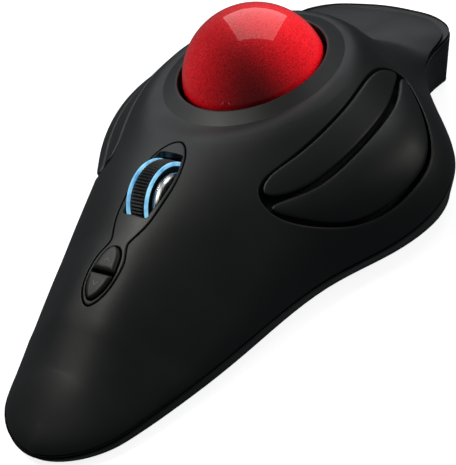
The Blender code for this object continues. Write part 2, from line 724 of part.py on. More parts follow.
def dpi_electronics():
    """A sloping board under the two small buttons, with a switch under each."""
    middle_y = DPI_SPLIT_Y
    slope = math.atan2(top_z(0, middle_y + 6 * MM) - top_z(0, middle_y - 6 * MM), 12 * MM)
    turn = Matrix.Translation((0, middle_y, top_z(0, middle_y))) @ Matrix.Rotation(slope, 4, "X")
    depth = 5.2 * MM
    box("dpi_board", (-4 * MM, -7.5 * MM, -depth - 1 * MM), (4 * MM, 7.5 * MM, -depth), "board_green", turn=turn)
    for name, y in (("dpi_switch_up", 3.4 * MM), ("dpi_switch_down", -3.4 * MM)):
        box(
            name, (-2.2 * MM, y - 1.8 * MM, -depth + GAP), (2.2 * MM, y + 1.8 * MM, -depth + 2.2 * MM),
            "black_plastic", turn=turn,
        )


# ---------------------------------------------------------------- wheel
def ring_profile(inner, outer, half):
    return [(outer, half), (outer, -half), (inner, -half), (inner, half)]


def wheel():
    half = TYRE_WIDTH / 2
    turned("wheel_tyre", ring_profile(HUB_R - 0.9 * MM, TYRE_R, half), WHEEL_CENTRE, "rubber", "X")
    hub_half = half + GAP
    hub_r = HUB_R - 1.2 * MM
    upper = [(0, AXLE_HALF), (AXLE_R, AXLE_HALF), (AXLE_R, hub_half), (hub_r, hub_half)]
    hub = upper + [(radius, -height) for radius, height in reversed(upper)]
    turned("wheel_hub", hub, WHEEL_CENTRE, "black_plastic", "X")
    for word, sign in sides():
        middle = WHEEL_CENTRE + Vector((sign * (half + GAP + RING_WIDTH / 2), 0, 0))
        ring = ring_profile(RING_INNER_R, RING_R, RING_WIDTH / 2)
        turned("wheel_light_ring_" + word, ring, middle, "blue_light", "X")
        middle = WHEEL_CENTRE + Vector((sign * (half + 1.35 * MM), 0, 0))
        cap = ring_profile(AXLE_R + GAP, CAP_R, 0.7 * MM)
        turned("wheel_cap_" + word, cap, middle, "chrome", "X")


def wheel_carrier():
    """The frame that holds the axle; it slides down a little when the wheel is pressed."""
    x_in, x_out = 5.7 * MM, 7.3 * MM
    y, z = WHEEL_CENTRE.y, WHEEL_CENTRE.z
    low, high = z - 7 * MM, z + 1.8 * MM
    carrier = box("wheel_carrier", (-x_out, y - 11 * MM, low), (x_out, y + 4 * MM, high), "black_plastic")
    cut(
        carrier,
        box("cut_carrier", (-x_in, y - 9.5 * MM, 0), (x_in, y + 5 * MM, 0.05)),
        box("cut_carrier_rear", (-0.01, y - 12 * MM, z - 2 * MM), (0.01, y - 3.5 * MM, 0.05)),
        cylinder("cut_axle", AXLE_R + 0.12 * MM, (-0.02, y, z), (0.02, y, z), sides=24),
    )
    box(
        "wheel_encoder", (-x_out - GAP - 4.5 * MM, y - 5 * MM, z - 8 * MM), (-x_out - GAP, y + 5 * MM, z - 1 * MM),
        "board_green",
    )
    box("wheel_board", (-9 * MM, -34 * MM, 12.0 * MM), (2.2 * MM, -22 * MM, 13.2 * MM), "board_green")
    switch = box("wheel_switch", (-5 * MM, -29 * MM, 13.5 * MM), (1 * MM, -23 * MM, 16.0 * MM), "black_plastic")
    key_y = y - 10.2 * MM
    add(switch, cylinder("add_key", 1.0 * MM, (-2 * MM, key_y, 15 * MM), (-2 * MM, key_y, low - 0.5 * MM), sides=12))


# ---------------------------------------------------------------- battery and underside
def battery():
    rear, front = BATTERY_REAR_Y, BATTERY_FRONT_Y
    x, z = BATTERY_X, BATTERY_Z
    cell = cylinder("battery", BATTERY_R, (x, rear, z), (x, front - 1.2 * MM, z), "cell_wrap", sides=32)
    add(cell, cylinder("add_cap", 2.7 * MM, (x, front - 2 * MM, z), (x, front, z), sides=24))
    plate_y = front + GAP
    box(
        "battery_plate", (x - 4.5 * MM, plate_y, z - 4.5 * MM), (x + 4.5 * MM, plate_y + 0.5 * MM, z + 3.5 * MM),
        "steel",
    )
    spring_coil(x, rear - GAP, z)


def spring_coil(x, y, z):
    """The battery's conical spring, wound about Y."""
    curve = bpy.data.curves.new("battery_spring", "CURVE")
    curve.dimensions = "3D"
    curve.bevel_depth = 0.3 * MM
    curve.bevel_resolution = 0
    curve.use_fill_caps = True
    turns, steps = 3, 10
    count = turns * steps + 1
    spline = curve.splines.new("POLY")
    spline.points.add(count - 1)
    for k, point in enumerate(spline.points):
        share = k / (count - 1)
        angle = 2 * math.pi * turns * share
        radius = (2.2 + 1.8 * share) * MM
        back = (0.35 + 3.4 * share) * MM
        point.co = (x + radius * math.cos(angle), y - back, z + radius * math.sin(angle), 1)
    obj = bpy.data.objects.new("battery_spring", curve)
    curve.materials.append(materials["steel"])
    parts_collection.objects.link(obj)


def battery_door():
    (low_x, low_y), (high_x, high_y) = DOOR_AREA
    door = box(
        "battery_door", (low_x + GAP, low_y + GAP, FLOOR_Z), (high_x - GAP, high_y - GAP, FLOOR_TOP - 0.1 * MM),
        "soft_black", origin=(BATTERY_X, high_y - GAP, FLOOR_Z),
    )
    for step in range(3):
        y = low_y + (4 + 2 * step) * MM
        groove = box("cut_grip", (BATTERY_X - 4 * MM, y, 0), (BATTERY_X + 4 * MM, y + 0.8 * MM, FLOOR_Z + 0.4 * MM))
        cut(door, groove)


def underside_pieces():
    battery_door()
    (low_x, low_y), (high_x, high_y) = RECEIVER_AREA
    receiver = box(
        "usb_receiver", (low_x + GAP, low_y + 7 * MM, 0.8 * MM), (high_x - GAP, high_y - GAP, 6.3 * MM),
        "black_plastic",
    )
    plug_x = (low_x + high_x) / 2
    plug = box("add_plug", (plug_x - 6 * MM, low_y + GAP, 1.3 * MM), (plug_x + 6 * MM, low_y + 8 * MM, 5.8 * MM))
    add(receiver, plug)
    x, y = SWITCH_PLACE
    slider = box(
        "power_switch", (x - 3.5 * MM, y - 3 * MM, FLOOR_TOP + GAP), (x + 3.5 * MM, y + 3 * MM, 3.6 * MM),
        "black_plastic",
    )
    add(slider, box("add_knob", (x - 2.2 * MM, y - 1.6 * MM, 0.9 * MM), (x + 2.2 * MM, y + 1.6 * MM, 3 * MM)))
    for name, place, radius in FEET:
        cylinder(name, radius, (*place, 0), (*place, 0.9 * MM), "rubber", sides=24)
    for number, (place, post_low) in enumerate(SCREW_PLACES, start=1):
        screw = cylinder(f"housing_screw_{number}", 2.5 * MM, (*place, 1.5 * MM), (*place, 3.1 * MM), "steel", sides=16)
        add(screw, cylinder("add_shank", 1.2 * MM, (*place, 2.5 * MM), (*place, post_low + 5 * MM), sides=12))
        slot = 0.3 * MM
        for turn in (0, math.pi / 2):
            place_slot = Matrix.Translation((*place, 0)) @ Matrix.Rotation(turn, 4, "Z")
            cut(screw, box("cut_drive", (-slot, -1.5 * MM, 0), (slot, 1.5 * MM, 2.2 * MM), turn=place_slot))


clear_scene()
parts_collection = make_collection("trackball_mouse")
cutters = make_collection("cutters")
cutters.hide_render = True
materials = {slot: make_material(slot, *values) for slot, values in COLOURS.items()}

top_shell()
base_shell()
trackball()
ball_cup()
ball_bearings()
sensor()
wing_controls()
centre_panel()
dpi_buttons()
dpi_electronics()
wheel()
wheel_carrier()
battery()
underside_pieces()
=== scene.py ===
"""Looks of the wireless trackball mouse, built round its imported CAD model.

Units are metres, +Z is up, +Y points from the palm rest to the front edge, +X to the right.
"""

import math

import bmesh
import bpy
import numpy as np
from mathutils import Matrix, Vector


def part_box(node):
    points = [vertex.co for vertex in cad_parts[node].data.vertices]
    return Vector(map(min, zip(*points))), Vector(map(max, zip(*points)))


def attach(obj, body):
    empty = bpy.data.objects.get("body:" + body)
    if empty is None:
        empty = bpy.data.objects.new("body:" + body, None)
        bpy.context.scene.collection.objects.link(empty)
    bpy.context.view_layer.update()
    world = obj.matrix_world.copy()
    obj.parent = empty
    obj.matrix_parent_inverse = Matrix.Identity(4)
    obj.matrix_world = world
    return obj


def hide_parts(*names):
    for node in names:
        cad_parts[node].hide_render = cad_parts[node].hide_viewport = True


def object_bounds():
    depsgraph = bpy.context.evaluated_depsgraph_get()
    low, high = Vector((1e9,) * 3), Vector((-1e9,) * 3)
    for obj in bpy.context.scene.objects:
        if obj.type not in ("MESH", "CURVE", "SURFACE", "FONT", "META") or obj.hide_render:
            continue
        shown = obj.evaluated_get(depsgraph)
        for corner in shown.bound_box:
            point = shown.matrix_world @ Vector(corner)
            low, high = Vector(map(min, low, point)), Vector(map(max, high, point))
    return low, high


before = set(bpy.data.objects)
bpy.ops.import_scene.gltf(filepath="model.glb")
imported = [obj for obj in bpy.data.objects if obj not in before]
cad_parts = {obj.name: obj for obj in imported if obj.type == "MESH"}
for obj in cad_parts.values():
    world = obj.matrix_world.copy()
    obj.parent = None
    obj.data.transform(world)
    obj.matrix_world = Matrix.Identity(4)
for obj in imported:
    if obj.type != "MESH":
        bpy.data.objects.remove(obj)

CAD_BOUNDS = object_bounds()
MM = 0.001
GAP = 0.3 * MM
FEWEST_FACES = 500

# ---------------------------------------------------------------- sizes that come from the frame
BALL_LOW, BALL_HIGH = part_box("trackball")
BALL_CENTRE = (BALL_LOW + BALL_HIGH) / 2
BALL_R = (BALL_HIGH.z - BALL_LOW.z) / 2
TYRE_LOW, TYRE_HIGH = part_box("wheel_tyre")
WHEEL_CENTRE = (TYRE_LOW + TYRE_HIGH) / 2
TYRE_R = (TYRE_HIGH.z - TYRE_LOW.z) / 2
TYRE_HALF = (TYRE_HIGH.x - TYRE_LOW.x) / 2
RING_LOW, RING_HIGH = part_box("wheel_light_ring_right")
RING_R = (RING_HIGH.z - RING_LOW.z) / 2
CAP_LOW, CAP_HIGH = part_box("wheel_cap_right")
CAP_R = (CAP_HIGH.z - CAP_LOW.z) / 2
FLOOR_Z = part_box("base_shell")[0].z

FEET = ["foot_front_right", "foot_front_left", "foot_wing_right", "foot_wing_left", "foot_rear"]
SCREWS = ["housing_screw_1", "housing_screw_2", "housing_screw_3"]

# ---------------------------------------------------------------- reach of the cutters
CUT_LOW, CUT_HIGH = 6 * MM, 60 * MM
UNDER_BASE = -1 * MM
FOOT_WELL_TOP = 1.2 * MM
SCREW_WELL_R, SCREW_WELL_TOP = 2.9 * MM, 4 * MM
BAY_TOP = 5 * MM
SWITCH_SLOT = ((-2.5 * MM, -2 * MM), (5.5 * MM, 2 * MM))

# ---------------------------------------------------------------- the body's form, as the CAD has it
OPENING_R = 17.75 * MM
COLLAR_R = 21.7 * MM
BAND_R = 26.0 * MM
RIM_Z = 34.0 * MM
COLLAR_DROP = 1.7 * MM
COLLAR_BLEND = 6.0 * MM
OUTLINE = np.array([
    (0, -74.5), (9.5, -71.5), (15, -66.5), (18, -61), (24.5, -43), (28.5, -27.5), (34, -9), (42.5, 5),
    (47, 19), (45, 29), (38.5, 37.5), (24, 53), (22, 61.5), (22.5, 67.5), (16, 72.3), (9, 73.8), (0, 74.5),
]) * MM
TAIL_Y = -58.3 * MM
NOSE_Y = 57.7 * MM
RIDGE = np.array([
    (-58.3, 13.9), (-43.3, 21.5), (-30.3, 26.2), (-16.3, 30.7), (-4.3, 33.2), (23.7, 36.8), (43.7, 30.2),
    (57.7, 16.5),
]) * MM
SEAM = np.array([(-76, 2.5), (-26, 4.2), (13.7, 5.4), (43.7, 10.9), (68.7, 14.3)]) * MM
BELL_SHARE = np.array([(-46.3, 0.68), (-11.3, 0.08), (23.7, 0.30), (48.7, 0.45)]) * (MM, 1)
BELL_WIDTH = np.array([(-16.3, 19.8), (43.7, 32.0)]) * MM
ROUNDNESS = np.array([(-58.3, 1.65), (-26.3, 2.45), (3.7, 2.2), (28.7, 2.9), (53.7, 2.5)]) * (MM, 1)
BASE_INSET = np.array([(-56.3, 0.7), (18.7, 2.3), (58.7, 3.6)]) * MM
CREST_EASE = np.array([(-52, 0.22), (-30, 0.0)]) * (MM, 1)
BASE_ROUND = np.array([(45, 0.6), (60, 1.4)]) * MM
RELAX_TAIL_Y = -50 * MM
RELAX_NOSE_Y = 40 * MM
SHELL = 2.0 * MM
TOP_RIM_ROUND = 0.5 * MM
RECESS_ROUND, RECESS_DEPTH = 0.3 * MM, 3.4 * MM
PANEL_HOLE_ROUND, PANEL_HOLE_DEPTH = 0.2 * MM, 2.2 * MM
PANEL_ROUND, PANEL_WALL = 0.3 * MM, 1.6 * MM
BUTTON_ROUND, BUTTON_GROWTH, BUTTON_SKIRT = 0.5 * MM, 0.3 * MM, 1.1 * MM
DPI_ROUND, DPI_RISE, DPI_SKIRT, DPI_HALF_GAP = 1.1 * MM, 0.68 * MM, 1.5 * MM, 0.35 * MM

RECESS = np.array([
    (22.0, -8.6), (25.7, -10.0), (33.0, -5.0), (41.0, 5.0), (44.6, 15.5), (43.2, 25.5), (33.0, 37.0),
    (28.0, 39.8), (26.3, 36.0), (27.8, 21.0), (24.5, 3.0), (21.6, -5.0),
]) * MM
SIDE_BUTTON = np.array([
    (22.9, -7.4), (26.3, -4.5), (30.2, 2.2), (32.9, 11.0), (33.7, 20.0), (32.6, 28.0), (29.6, 35.3),
    (27.9, 37.9), (27.1, 36.0), (28.5, 21.0), (25.3, 3.2), (22.4, -4.6),
]) * MM
SIDE_TIPS = (0, 7)
MAIN_BUTTON = np.array([
    (25.4, -9.1), (32.6, -4.2), (40.3, 5.5), (43.8, 15.6), (42.4, 25.2), (32.8, 36.2), (29.6, 38.4),
    (31.2, 35.2), (34.2, 28.5), (35.3, 20.0), (34.4, 10.5), (31.6, 1.5), (27.4, -5.3),
]) * MM
MAIN_TIPS = (0, 6)
PANEL = np.array([
    (0, -4.8), (3.1, -6.9), (4.9, -10.6), (5.8, -16.0), (5.5, -21.0), (4.7, -26.2), (3.1, -30.0),
    (2.7, -31.7), (3.9, -34.6), (4.3, -38.8), (3.2, -43.4), (0, -46.2),
]) * MM
SLOT = np.array([
    (0, -8.4), (3.2, -8.6), (3.5, -9.5), (4.4, -12.5), (4.4, -19.5), (3.6, -23.6), (3.3, -24.6), (0, -24.7),
]) * MM
DPI_PAIR = np.array([(0, -32.4), (2.0, -33.4), (3.1, -36.6), (3.3, -39.6), (2.3, -43.0), (0, -44.9)]) * MM
DPI_SPLIT_Y = -38.6 * MM


# ---------------------------------------------------------------- curves and the body's surface
def spline_bend(steps, values, closed):
    """Second derivatives of the cubic spline through values at unequal steps."""
    count = len(values)
    system = np.eye(count)
    right = np.zeros_like(values)
    inner = range(count) if closed else range(1, count - 1)
    for k in inner:
        before, after = steps[k - 1], steps[k % len(steps)]
        system[k, k] = 2 * (before + after)
        system[k, k - 1] += before
        system[k, (k + 1) % count] += after
        rise = (values[(k + 1) % count] - values[k]) / after
        right[k] = 6 * (rise - (values[k] - values[k - 1]) / before)
    return np.linalg.solve(system, right)


def spline_point(values, bend, step, k, along):
    """The spline's value on span k, a distance along it."""
    end = (k + 1) % len(values)
    rest = step - along
    return (
        (bend[k] * rest**3 + bend[end] * along**3) / (6 * step)
        + (values[k] / step - bend[k] * step / 6) * rest
        + (values[end] / step - bend[end] * step / 6) * along
    )


def profile(stations):
    """A smooth function through (y, value) stations, level beyond its ends."""
    ys, values = stations[:, 0], stations[:, 1]
    steps = np.diff(ys)
    bend = spline_bend(steps, values, closed=False)

    def value_at(y):
        y = np.clip(y, ys[0], ys[-1])
        k = np.clip(np.searchsorted(ys, y, side="right") - 1, 0, len(steps) - 1)
        return spline_point(values, bend, steps[k], k, y - ys[k])

    return value_at


def smooth_loop(points, per_span):
    """A smooth closed outline through the points, with per_span points on each span."""
    steps = np.sqrt(np.linalg.norm(np.roll(points, -1, axis=0) - points, axis=1))
    bend = spline_bend(steps, points, closed=True)
    spans = [
        spline_point(points, bend, steps[k], k, steps[k] * part)
        for k in range(len(points))
        for part in np.arange(per_span) / per_span
    ]
    return np.array(spans)


def mirrored_loop(half, per_span):
    """A closed outline, symmetric about X = 0, through a right half that starts and ends there."""
    return smooth_loop(np.vstack([half, half[-2:0:-1] * (-1, 1)]), per_span)


BODY_EDGE = mirrored_loop(OUTLINE, 24)[: (len(OUTLINE) - 1) * 24 + 1]
BODY_EDGE[:, 0] = np.clip(BODY_EDGE[:, 0], 0, CAD_BOUNDS[1].x)
ridge_z = profile(RIDGE)
seam_z = profile(SEAM)
bell_share = profile(BELL_SHARE)
bell_width = profile(BELL_WIDTH)
roundness = profile(ROUNDNESS)


def half_width(y):
    return np.interp(y, BODY_EDGE[:, 1], BODY_EDGE[:, 0])


def across(part, width, y, power=None):
    """Height of the cross-section, 1 on the spine and 0 at the seam; part is 0 to 1 of the way out."""
    power = roundness(y) if power is None else power
    ease = np.interp(y, CREST_EASE[:, 0], CREST_EASE[:, 1])
    part = (np.hypot(part, ease) - ease) / (np.hypot(1, ease) - ease)
    dome = np.sqrt(np.clip(1 - np.clip(part, 0, 1) ** power, 0, 1))
    bell = np.exp(-((part * width / bell_width(y)) ** 2))
    share = bell_share(y)
    return dome * ((1 - share) + share * bell)


def collared(points):
    """Runs the surface into the cone of the collar round the ball."""
    away = points[..., :2] - np.array(BALL_CENTRE[:2])
    radius = np.linalg.norm(away, axis=-1)
    slope = COLLAR_DROP / (COLLAR_R - OPENING_R)
    cone_z = RIM_Z - slope * (np.clip(radius, OPENING_R, COLLAR_R) - OPENING_R)
    share = np.exp(-((np.clip(radius - COLLAR_R, 0, None) / COLLAR_BLEND) ** 2))
    joined = points.copy()
    joined[..., 2] += (cone_z - points[..., 2]) * share
    return joined


def surface(edge, parts):
    """Points of the body's outer surface, one row for each edge point, from the spine to the seam."""
    spine_y = np.clip(edge[:, 1], TAIL_Y, NOSE_Y)
    spine = np.column_stack([np.zeros(len(edge)), spine_y])
    plan = spine[:, None] + parts[None, :, None] * (edge - spine)[:, None]
    width = np.linalg.norm(edge - spine, axis=1)[:, None]
    low = seam_z(edge[:, 1])[:, None]
    section_y = np.clip(plan[..., 1], TAIL_Y, NOSE_Y)
    beyond = (np.clip(edge[:, 1] - NOSE_Y, 0, None)[:, None] / width) ** 2
    power = roundness(section_y) * (1 - beyond) + beyond
    height = low + (ridge_z(spine_y)[:, None] - low) * across(parts[None, :], width, section_y, power)
    fall = (ridge_z(TAIL_Y + 0.5 * MM) - ridge_z(TAIL_Y)) / (0.5 * MM)
    height -= fall * np.clip(TAIL_Y - plan[..., 1], 0, None) * (1 - parts[None, :])
    return collared(np.concatenate([plan, height[..., None]], axis=-1))


def height_at(x, y):
    """Height of the outer surface over points whose Y lies between TAIL_Y and NOSE_Y."""
    width = half_width(y)
    low = seam_z(y)
    z = low + (ridge_z(y) - low) * across(np.abs(x) / width, width, y)
    return collared(np.stack([x, y, z], axis=-1))[..., 2]


def on_body(plan, lift):
    """Points over or under the outer surface: a plan place, then a distance along the normal."""
    x, y = plan[..., 0], plan[..., 1]
    step = 0.02 * MM
    slope_x = (height_at(x + step, y) - height_at(x - step, y)) / (2 * step)
    slope_y = (height_at(x, y + step) - height_at(x, y - step)) / (2 * step)
    normal = np.stack([-slope_x, -slope_y, np.ones_like(x)], axis=-1)
    normal /= np.linalg.norm(normal, axis=-1, keepdims=True)
    point = np.stack([x, y, height_at(x, y)], axis=-1)
    return point + normal * np.broadcast_to(lift, x.shape)[..., None]


def grown(loop, distance):
    """A closed loop moved away from its inside; a negative distance moves it inwards."""
    ahead = np.roll(loop, -1, axis=0) - np.roll(loop, 1, axis=0)
    side = np.column_stack([ahead[:, 1], -ahead[:, 0]]) / np.linalg.norm(ahead, axis=1)[:, None]
    turning = np.sum(loop[:, 0] * np.roll(loop[:, 1], -1) - np.roll(loop[:, 0], -1) * loop[:, 1])
    return loop + side * distance * np.sign(turning)


def sides():
    """The two sides: a word for names, and the sign of X."""
    return (("right", 1), ("left", -1))


# ---------------------------------------------------------------- mesh helpers
def grid_faces(rows, columns, wrap_rows, wrap_columns, start):
    """Quads over a grid of vertices numbered row by row from start."""
    faces = []
    for i in range(rows if wrap_rows else rows - 1):
        for j in range(columns if wrap_columns else columns - 1):
            i2, j2 = (i + 1) % rows, (j + 1) % columns
            faces.append((start + i * columns + j, start + i * columns + j2,
                          start + i2 * columns + j2, start + i2 * columns + j))
    return faces


def mesh_of(name, grids, turn_out=True):
    """A mesh from grids of points, each with its wrap flags, with coinciding points made one."""
    points, faces = [], []
    for grid, wrap_rows, wrap_columns in grids:
        faces += grid_faces(*grid.shape[:2], wrap_rows, wrap_columns, len(points))
        points += grid.reshape(-1, 3).tolist()
    mesh = bpy.data.meshes.new(name)
    mesh.from_pydata(points, [], faces)
    bm = bmesh.new()
    bm.from_mesh(mesh)
    bmesh.ops.remove_doubles(bm, verts=bm.verts, dist=0.000004)
    bmesh.ops.dissolve_degenerate(bm, edges=bm.edges, dist=0.000001)
    if turn_out:
        bmesh.ops.recalc_face_normals(bm, faces=bm.faces)
    bm.to_mesh(mesh)
    bm.free()
    return mesh


def piece(name, mesh, body, material, replaces=(), sharp_deg=38):
    """An object of the visual model that moves with a body."""
    obj = bpy.data.objects.new(name, mesh)
    bpy.context.scene.collection.objects.link(obj)
    mesh.materials.clear()
    mesh.materials.append(material)
    mesh.shade_smooth()
    mesh.set_sharp_from_angle(angle=math.radians(sharp_deg))
    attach(obj, body)
    if replaces:
        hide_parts(*replaces)
    return obj


def helper(name, mesh):
    """An object used only for cutting; it is removed when the cut is made."""
    obj = bpy.data.objects.new(name, mesh)
    bpy.context.scene.collection.objects.link(obj)
    return obj


def prism(name, loop, low, high):
    """A plan outline pulled up from one height to another."""
    bm = bmesh.new()
    face = bm.faces.new([bm.verts.new((x, y, low)) for x, y in loop])
    lifted = bmesh.ops.extrude_face_region(bm, geom=[face])["geom"]
    corners = [part for part in lifted if isinstance(part, bmesh.types.BMVert)]
    bmesh.ops.translate(bm, verts=corners, vec=(0, 0, high - low))
    bmesh.ops.recalc_face_normals(bm, faces=bm.faces)
    mesh = bpy.data.meshes.new(name)
    bm.to_mesh(mesh)
    bm.free()
    return helper(name, mesh)


def block(name, low, high):
    """A box from its low corner to its high corner."""
    loop = np.array([(low[0], low[1]), (high[0], low[1]), (high[0], high[1]), (low[0], high[1])])
    return prism(name, loop, low[2], high[2])


def circle(centre, radius, count):
    """Points of a circle in plan."""
    angles = np.arange(count) * 2 * math.pi / count
    return np.column_stack([centre[0] + radius * np.cos(angles), centre[1] + radius * np.sin(angles)])


def baked(obj):
    """The object's mesh with its modifiers applied; the object and its cutters are removed.

    A failed Boolean leaves a few faces and says nothing, so the script stops on that here.
    """
    graph = bpy.context.evaluated_depsgraph_get()
    mesh = bpy.data.meshes.new_from_object(obj.evaluated_get(graph))
    if len(mesh.polygons) < FEWEST_FACES:
        raise RuntimeError(f"{obj.name} was cut down to {len(mesh.polygons)} faces")
    tools = [modifier.object for modifier in obj.modifiers if modifier.type == "BOOLEAN"]
    for used in [obj, *tools]:
        bpy.data.objects.remove(used, do_unlink=True)
    return mesh


def boolean(obj, tool, operation):
    """Adds an exact Boolean with a helper object as its tool."""
    modifier = obj.modifiers.new(operation.title(), "BOOLEAN")
    modifier.operation = operation
    modifier.solver = "EXACT"
    modifier.object = tool


def joined(mesh, *others):
    """One mesh that holds all of them."""
    bm = bmesh.new()
    for each in (mesh, *others):
        bm.from_mesh(each)
    bm.to_mesh(mesh)
    bm.free()
    return mesh


def relaxed_ends(mesh):
    """Evens out the body's two ends, clear of its rim and of the collar, on a right-half sheet."""
    bm = bmesh.new()
    bm.from_mesh(mesh)
    ends = [
        vert for vert in bm.verts
        if not RELAX_TAIL_Y < vert.co.y < RELAX_NOSE_Y
        and math.hypot(vert.co.x, vert.co.y - BALL_CENTRE.y) > BAND_R + MM
    ]
    inner = [vert for vert in ends if not vert.is_boundary]
    spine = [vert for vert in ends if vert.is_boundary and vert.co.x < GAP and abs(vert.co.y) < 70 * MM]
    for _ in range(60):
        for verts, sideways in ((inner, True), (spine, False)):
            bmesh.ops.smooth_vert(
                bm, verts=verts, factor=0.5, use_axis_x=sideways, use_axis_y=True, use_axis_z=True,
            )
    bm.to_mesh(mesh)
    bm.free()
    return mesh


def walled(mesh, thickness):
    """A helper object: a right-half surface sheet, mirrored and given a thickness inwards."""
    obj = helper("wall", mesh)
    obj.modifiers.new("Halves", "MIRROR").merge_threshold = 0.00001
    wall = obj.modifiers.new("Wall", "SOLIDIFY")
    wall.thickness = thickness
    wall.offset = -1
    return obj


def round_over(radius):
    """(distance in from a face's edge, drop below the face) along a quarter round, face first."""
    angles = np.linspace(0, math.pi / 2, 6)
    return [(radius * (1 - math.sin(a)), radius * (1 - math.cos(a))) for a in angles]


def lip(loop, radius, depth, outside):
    """A rounded edge along a loop on the body: outside is 1 round a hole, -1 on a piece's own rim."""
    rows = [on_body(grown(loop, outside * (radius + 0.04 * MM)), 0)]
    for inset, drop in round_over(radius):
        rows.append(on_body(grown(loop, outside * inset), -drop))
    foot = rows[-1].copy()
    foot[:, 2] -= depth - radius
    rows.append(foot)
    return facing_up(mesh_of("lip", [(np.array(rows), False, True)], turn_out=False))


def facing_up(mesh):
    """Turns a strip's faces over if, taken together, they face down."""
    bm = bmesh.new()
    bm.from_mesh(mesh)
    bm.faces.ensure_lookup_table()
    bm.normal_update()
    upward = sum(face.normal.z * face.calc_area() for face in bm.faces)
    if upward < 0:
        bmesh.ops.reverse_faces(bm, faces=bm.faces)
    bm.to_mesh(mesh)
    bm.free()
    return mesh


def fillet(outline, radius):
    """A closed (radius, height) outline with each corner rounded."""
    outline = np.array(outline, float)
    points = []
    neighbours = zip(np.roll(outline, 1, axis=0), outline, np.roll(outline, -1, axis=0))
    for before, corner, after in neighbours:
        to_before = (before - corner) / np.linalg.norm(before - corner)
        to_after = (after - corner) / np.linalg.norm(after - corner)
        for part in np.linspace(0, 1, 4):
            points.append(corner + radius * (to_before * (1 - part) ** 2 + to_after * part**2))
    return np.array(points)


def slab(top, under, pointed=False):
    """Grids that close the room between two sheets; pointed ends meet by themselves, with no wall."""
    rims = [(top[:, 0], under[:, 0]), (top[:, -1], under[:, -1])]
    if not pointed:
        rims += [(top[0], under[0]), (top[-1], under[-1])]
    grids = [top, under[:, ::-1]] + [np.stack(rim, axis=1) for rim in rims]
    return [(grid, False, False) for grid in grids]


def wheel_piece(name, outline, centre, material, replaced, count):
    """A closed outline of (radius, along) points swept round the wheel's axle."""
    angles = np.arange(count) * 2 * math.pi / count
    radius, along = outline[:, 0], outline[:, 1]
    forward = radius[None, :] * np.cos(angles)[:, None]
    upward = radius[None, :] * np.sin(angles)[:, None]
    sideways = np.broadcast_to(along[None, :], forward.shape)
    grid = np.stack([sideways, forward, upward], axis=-1) + np.array(centre)
    return piece(name, mesh_of(name, [(grid, True, True)]), "wheel", MATERIALS[material], [replaced])


# ---------------------------------------------------------------- materials
class Nodes:
    """Shorthand for building one material's node tree."""

    def __init__(self, name):
        self.material = bpy.data.materials.new(name)
        self.material.use_nodes = True
        self.tree = self.material.node_tree
        self.shader = self.tree.nodes["Principled BSDF"]
        self.place = self.add("ShaderNodeTexCoord").outputs["Object"]

    def add(self, kind, **settings):
        node = self.tree.nodes.new(kind)
        for key, value in settings.items():
            if key in node.inputs:
                node.inputs[key].default_value = value
            else:
                setattr(node, key, value)
        return node

    def link(self, source, target):
        self.tree.links.new(source, target)

    def put(self, **values):
        for key, value in values.items():
            self.shader.inputs[key.replace("_", " ")].default_value = value

    def noise(self, scale, detail, roughness=0.5):
        node = self.add("ShaderNodeTexNoise", Scale=scale, Detail=detail, Roughness=roughness)
        self.link(self.place, node.inputs["Vector"])
        return node.outputs["Fac"]

    def cells(self, scale, feature="F1", output="Distance"):
        node = self.add("ShaderNodeTexVoronoi", Scale=scale, feature=feature)
        self.link(self.place, node.inputs["Vector"])
        return node.outputs[output]

    def ramp(self, source, stops):
        node = self.add("ShaderNodeValToRGB")
        elements = node.color_ramp.elements
        while len(elements) < len(stops):
            elements.new(0.5)
        for element, (position, colour) in zip(elements, stops):
            element.position = position
            element.color = (*colour, 1)
        self.link(source, node.inputs["Fac"])
        return node.outputs["Color"]

    def range(self, source, low, high, from_low=0.3, from_high=0.7):
        node = self.add("ShaderNodeMapRange")
        limits = {"From Min": from_low, "From Max": from_high, "To Min": low, "To Max": high}
        for key, value in limits.items():
            node.inputs[key].default_value = value
        self.link(source, node.inputs["Value"])
        return node.outputs["Result"]

    def mix(self, share, first, second):
        node = self.add("ShaderNodeMix", data_type="RGBA")
        self.link(share, node.inputs["Factor"])
        node.inputs[6].default_value = (*first, 1)
        node.inputs[7].default_value = (*second, 1)
        return node.outputs[2]

    def bump(self, source, depth, strength=1.0):
        node = self.add("ShaderNodeBump", Strength=strength, Distance=depth)
        self.link(source, node.inputs["Height"])
        self.link(node.outputs["Normal"], self.shader.inputs["Normal"])

    def colour(self, source):
        self.link(source, self.shader.inputs["Base Color"])

    def roughness(self, source):
        self.link(source, self.shader.inputs["Roughness"])


def moulded(name, light, dark, rough, grain=3200, depth=0.000012, specular=0.5):
    """Moulded plastic: a fine spark-eroded grain, with faint patches of tone and gloss."""
    n = Nodes(name)
    n.put(Specular_IOR_Level=specular)
    patches = n.noise(55, 4)
    n.colour(n.ramp(patches, ((0.30, dark), (0.70, light))))
    n.roughness(n.range(n.noise(140, 3), rough[0], rough[1]))
    n.bump(n.noise(grain, 2, 0.6), depth)
    return n.material


def ball_red():
    """Deep red resin full of fine flakes under a clear gloss."""
    n = Nodes("ball_red")
    n.put(Metallic=0.15, Specular_IOR_Level=0.2, Coat_Weight=1.0, Coat_Roughness=0.012, Coat_IOR=1.5)
    flakes = n.cells(5200, output="Color")
    tone = n.add("ShaderNodeSeparateColor")
    n.link(flakes, tone.inputs["Color"])
    n.colour(n.ramp(tone.outputs[0], (
        (0.00, (0.40, 0.002, 0.006)), (0.35, (0.72, 0.005, 0.012)), (1.00, (0.95, 0.010, 0.018)),
    )))
    n.roughness(n.range(tone.outputs[1], 0.35, 0.5, 0, 1))
    n.bump(tone.outputs[2], 0.00003, 0.7)
    return n.material


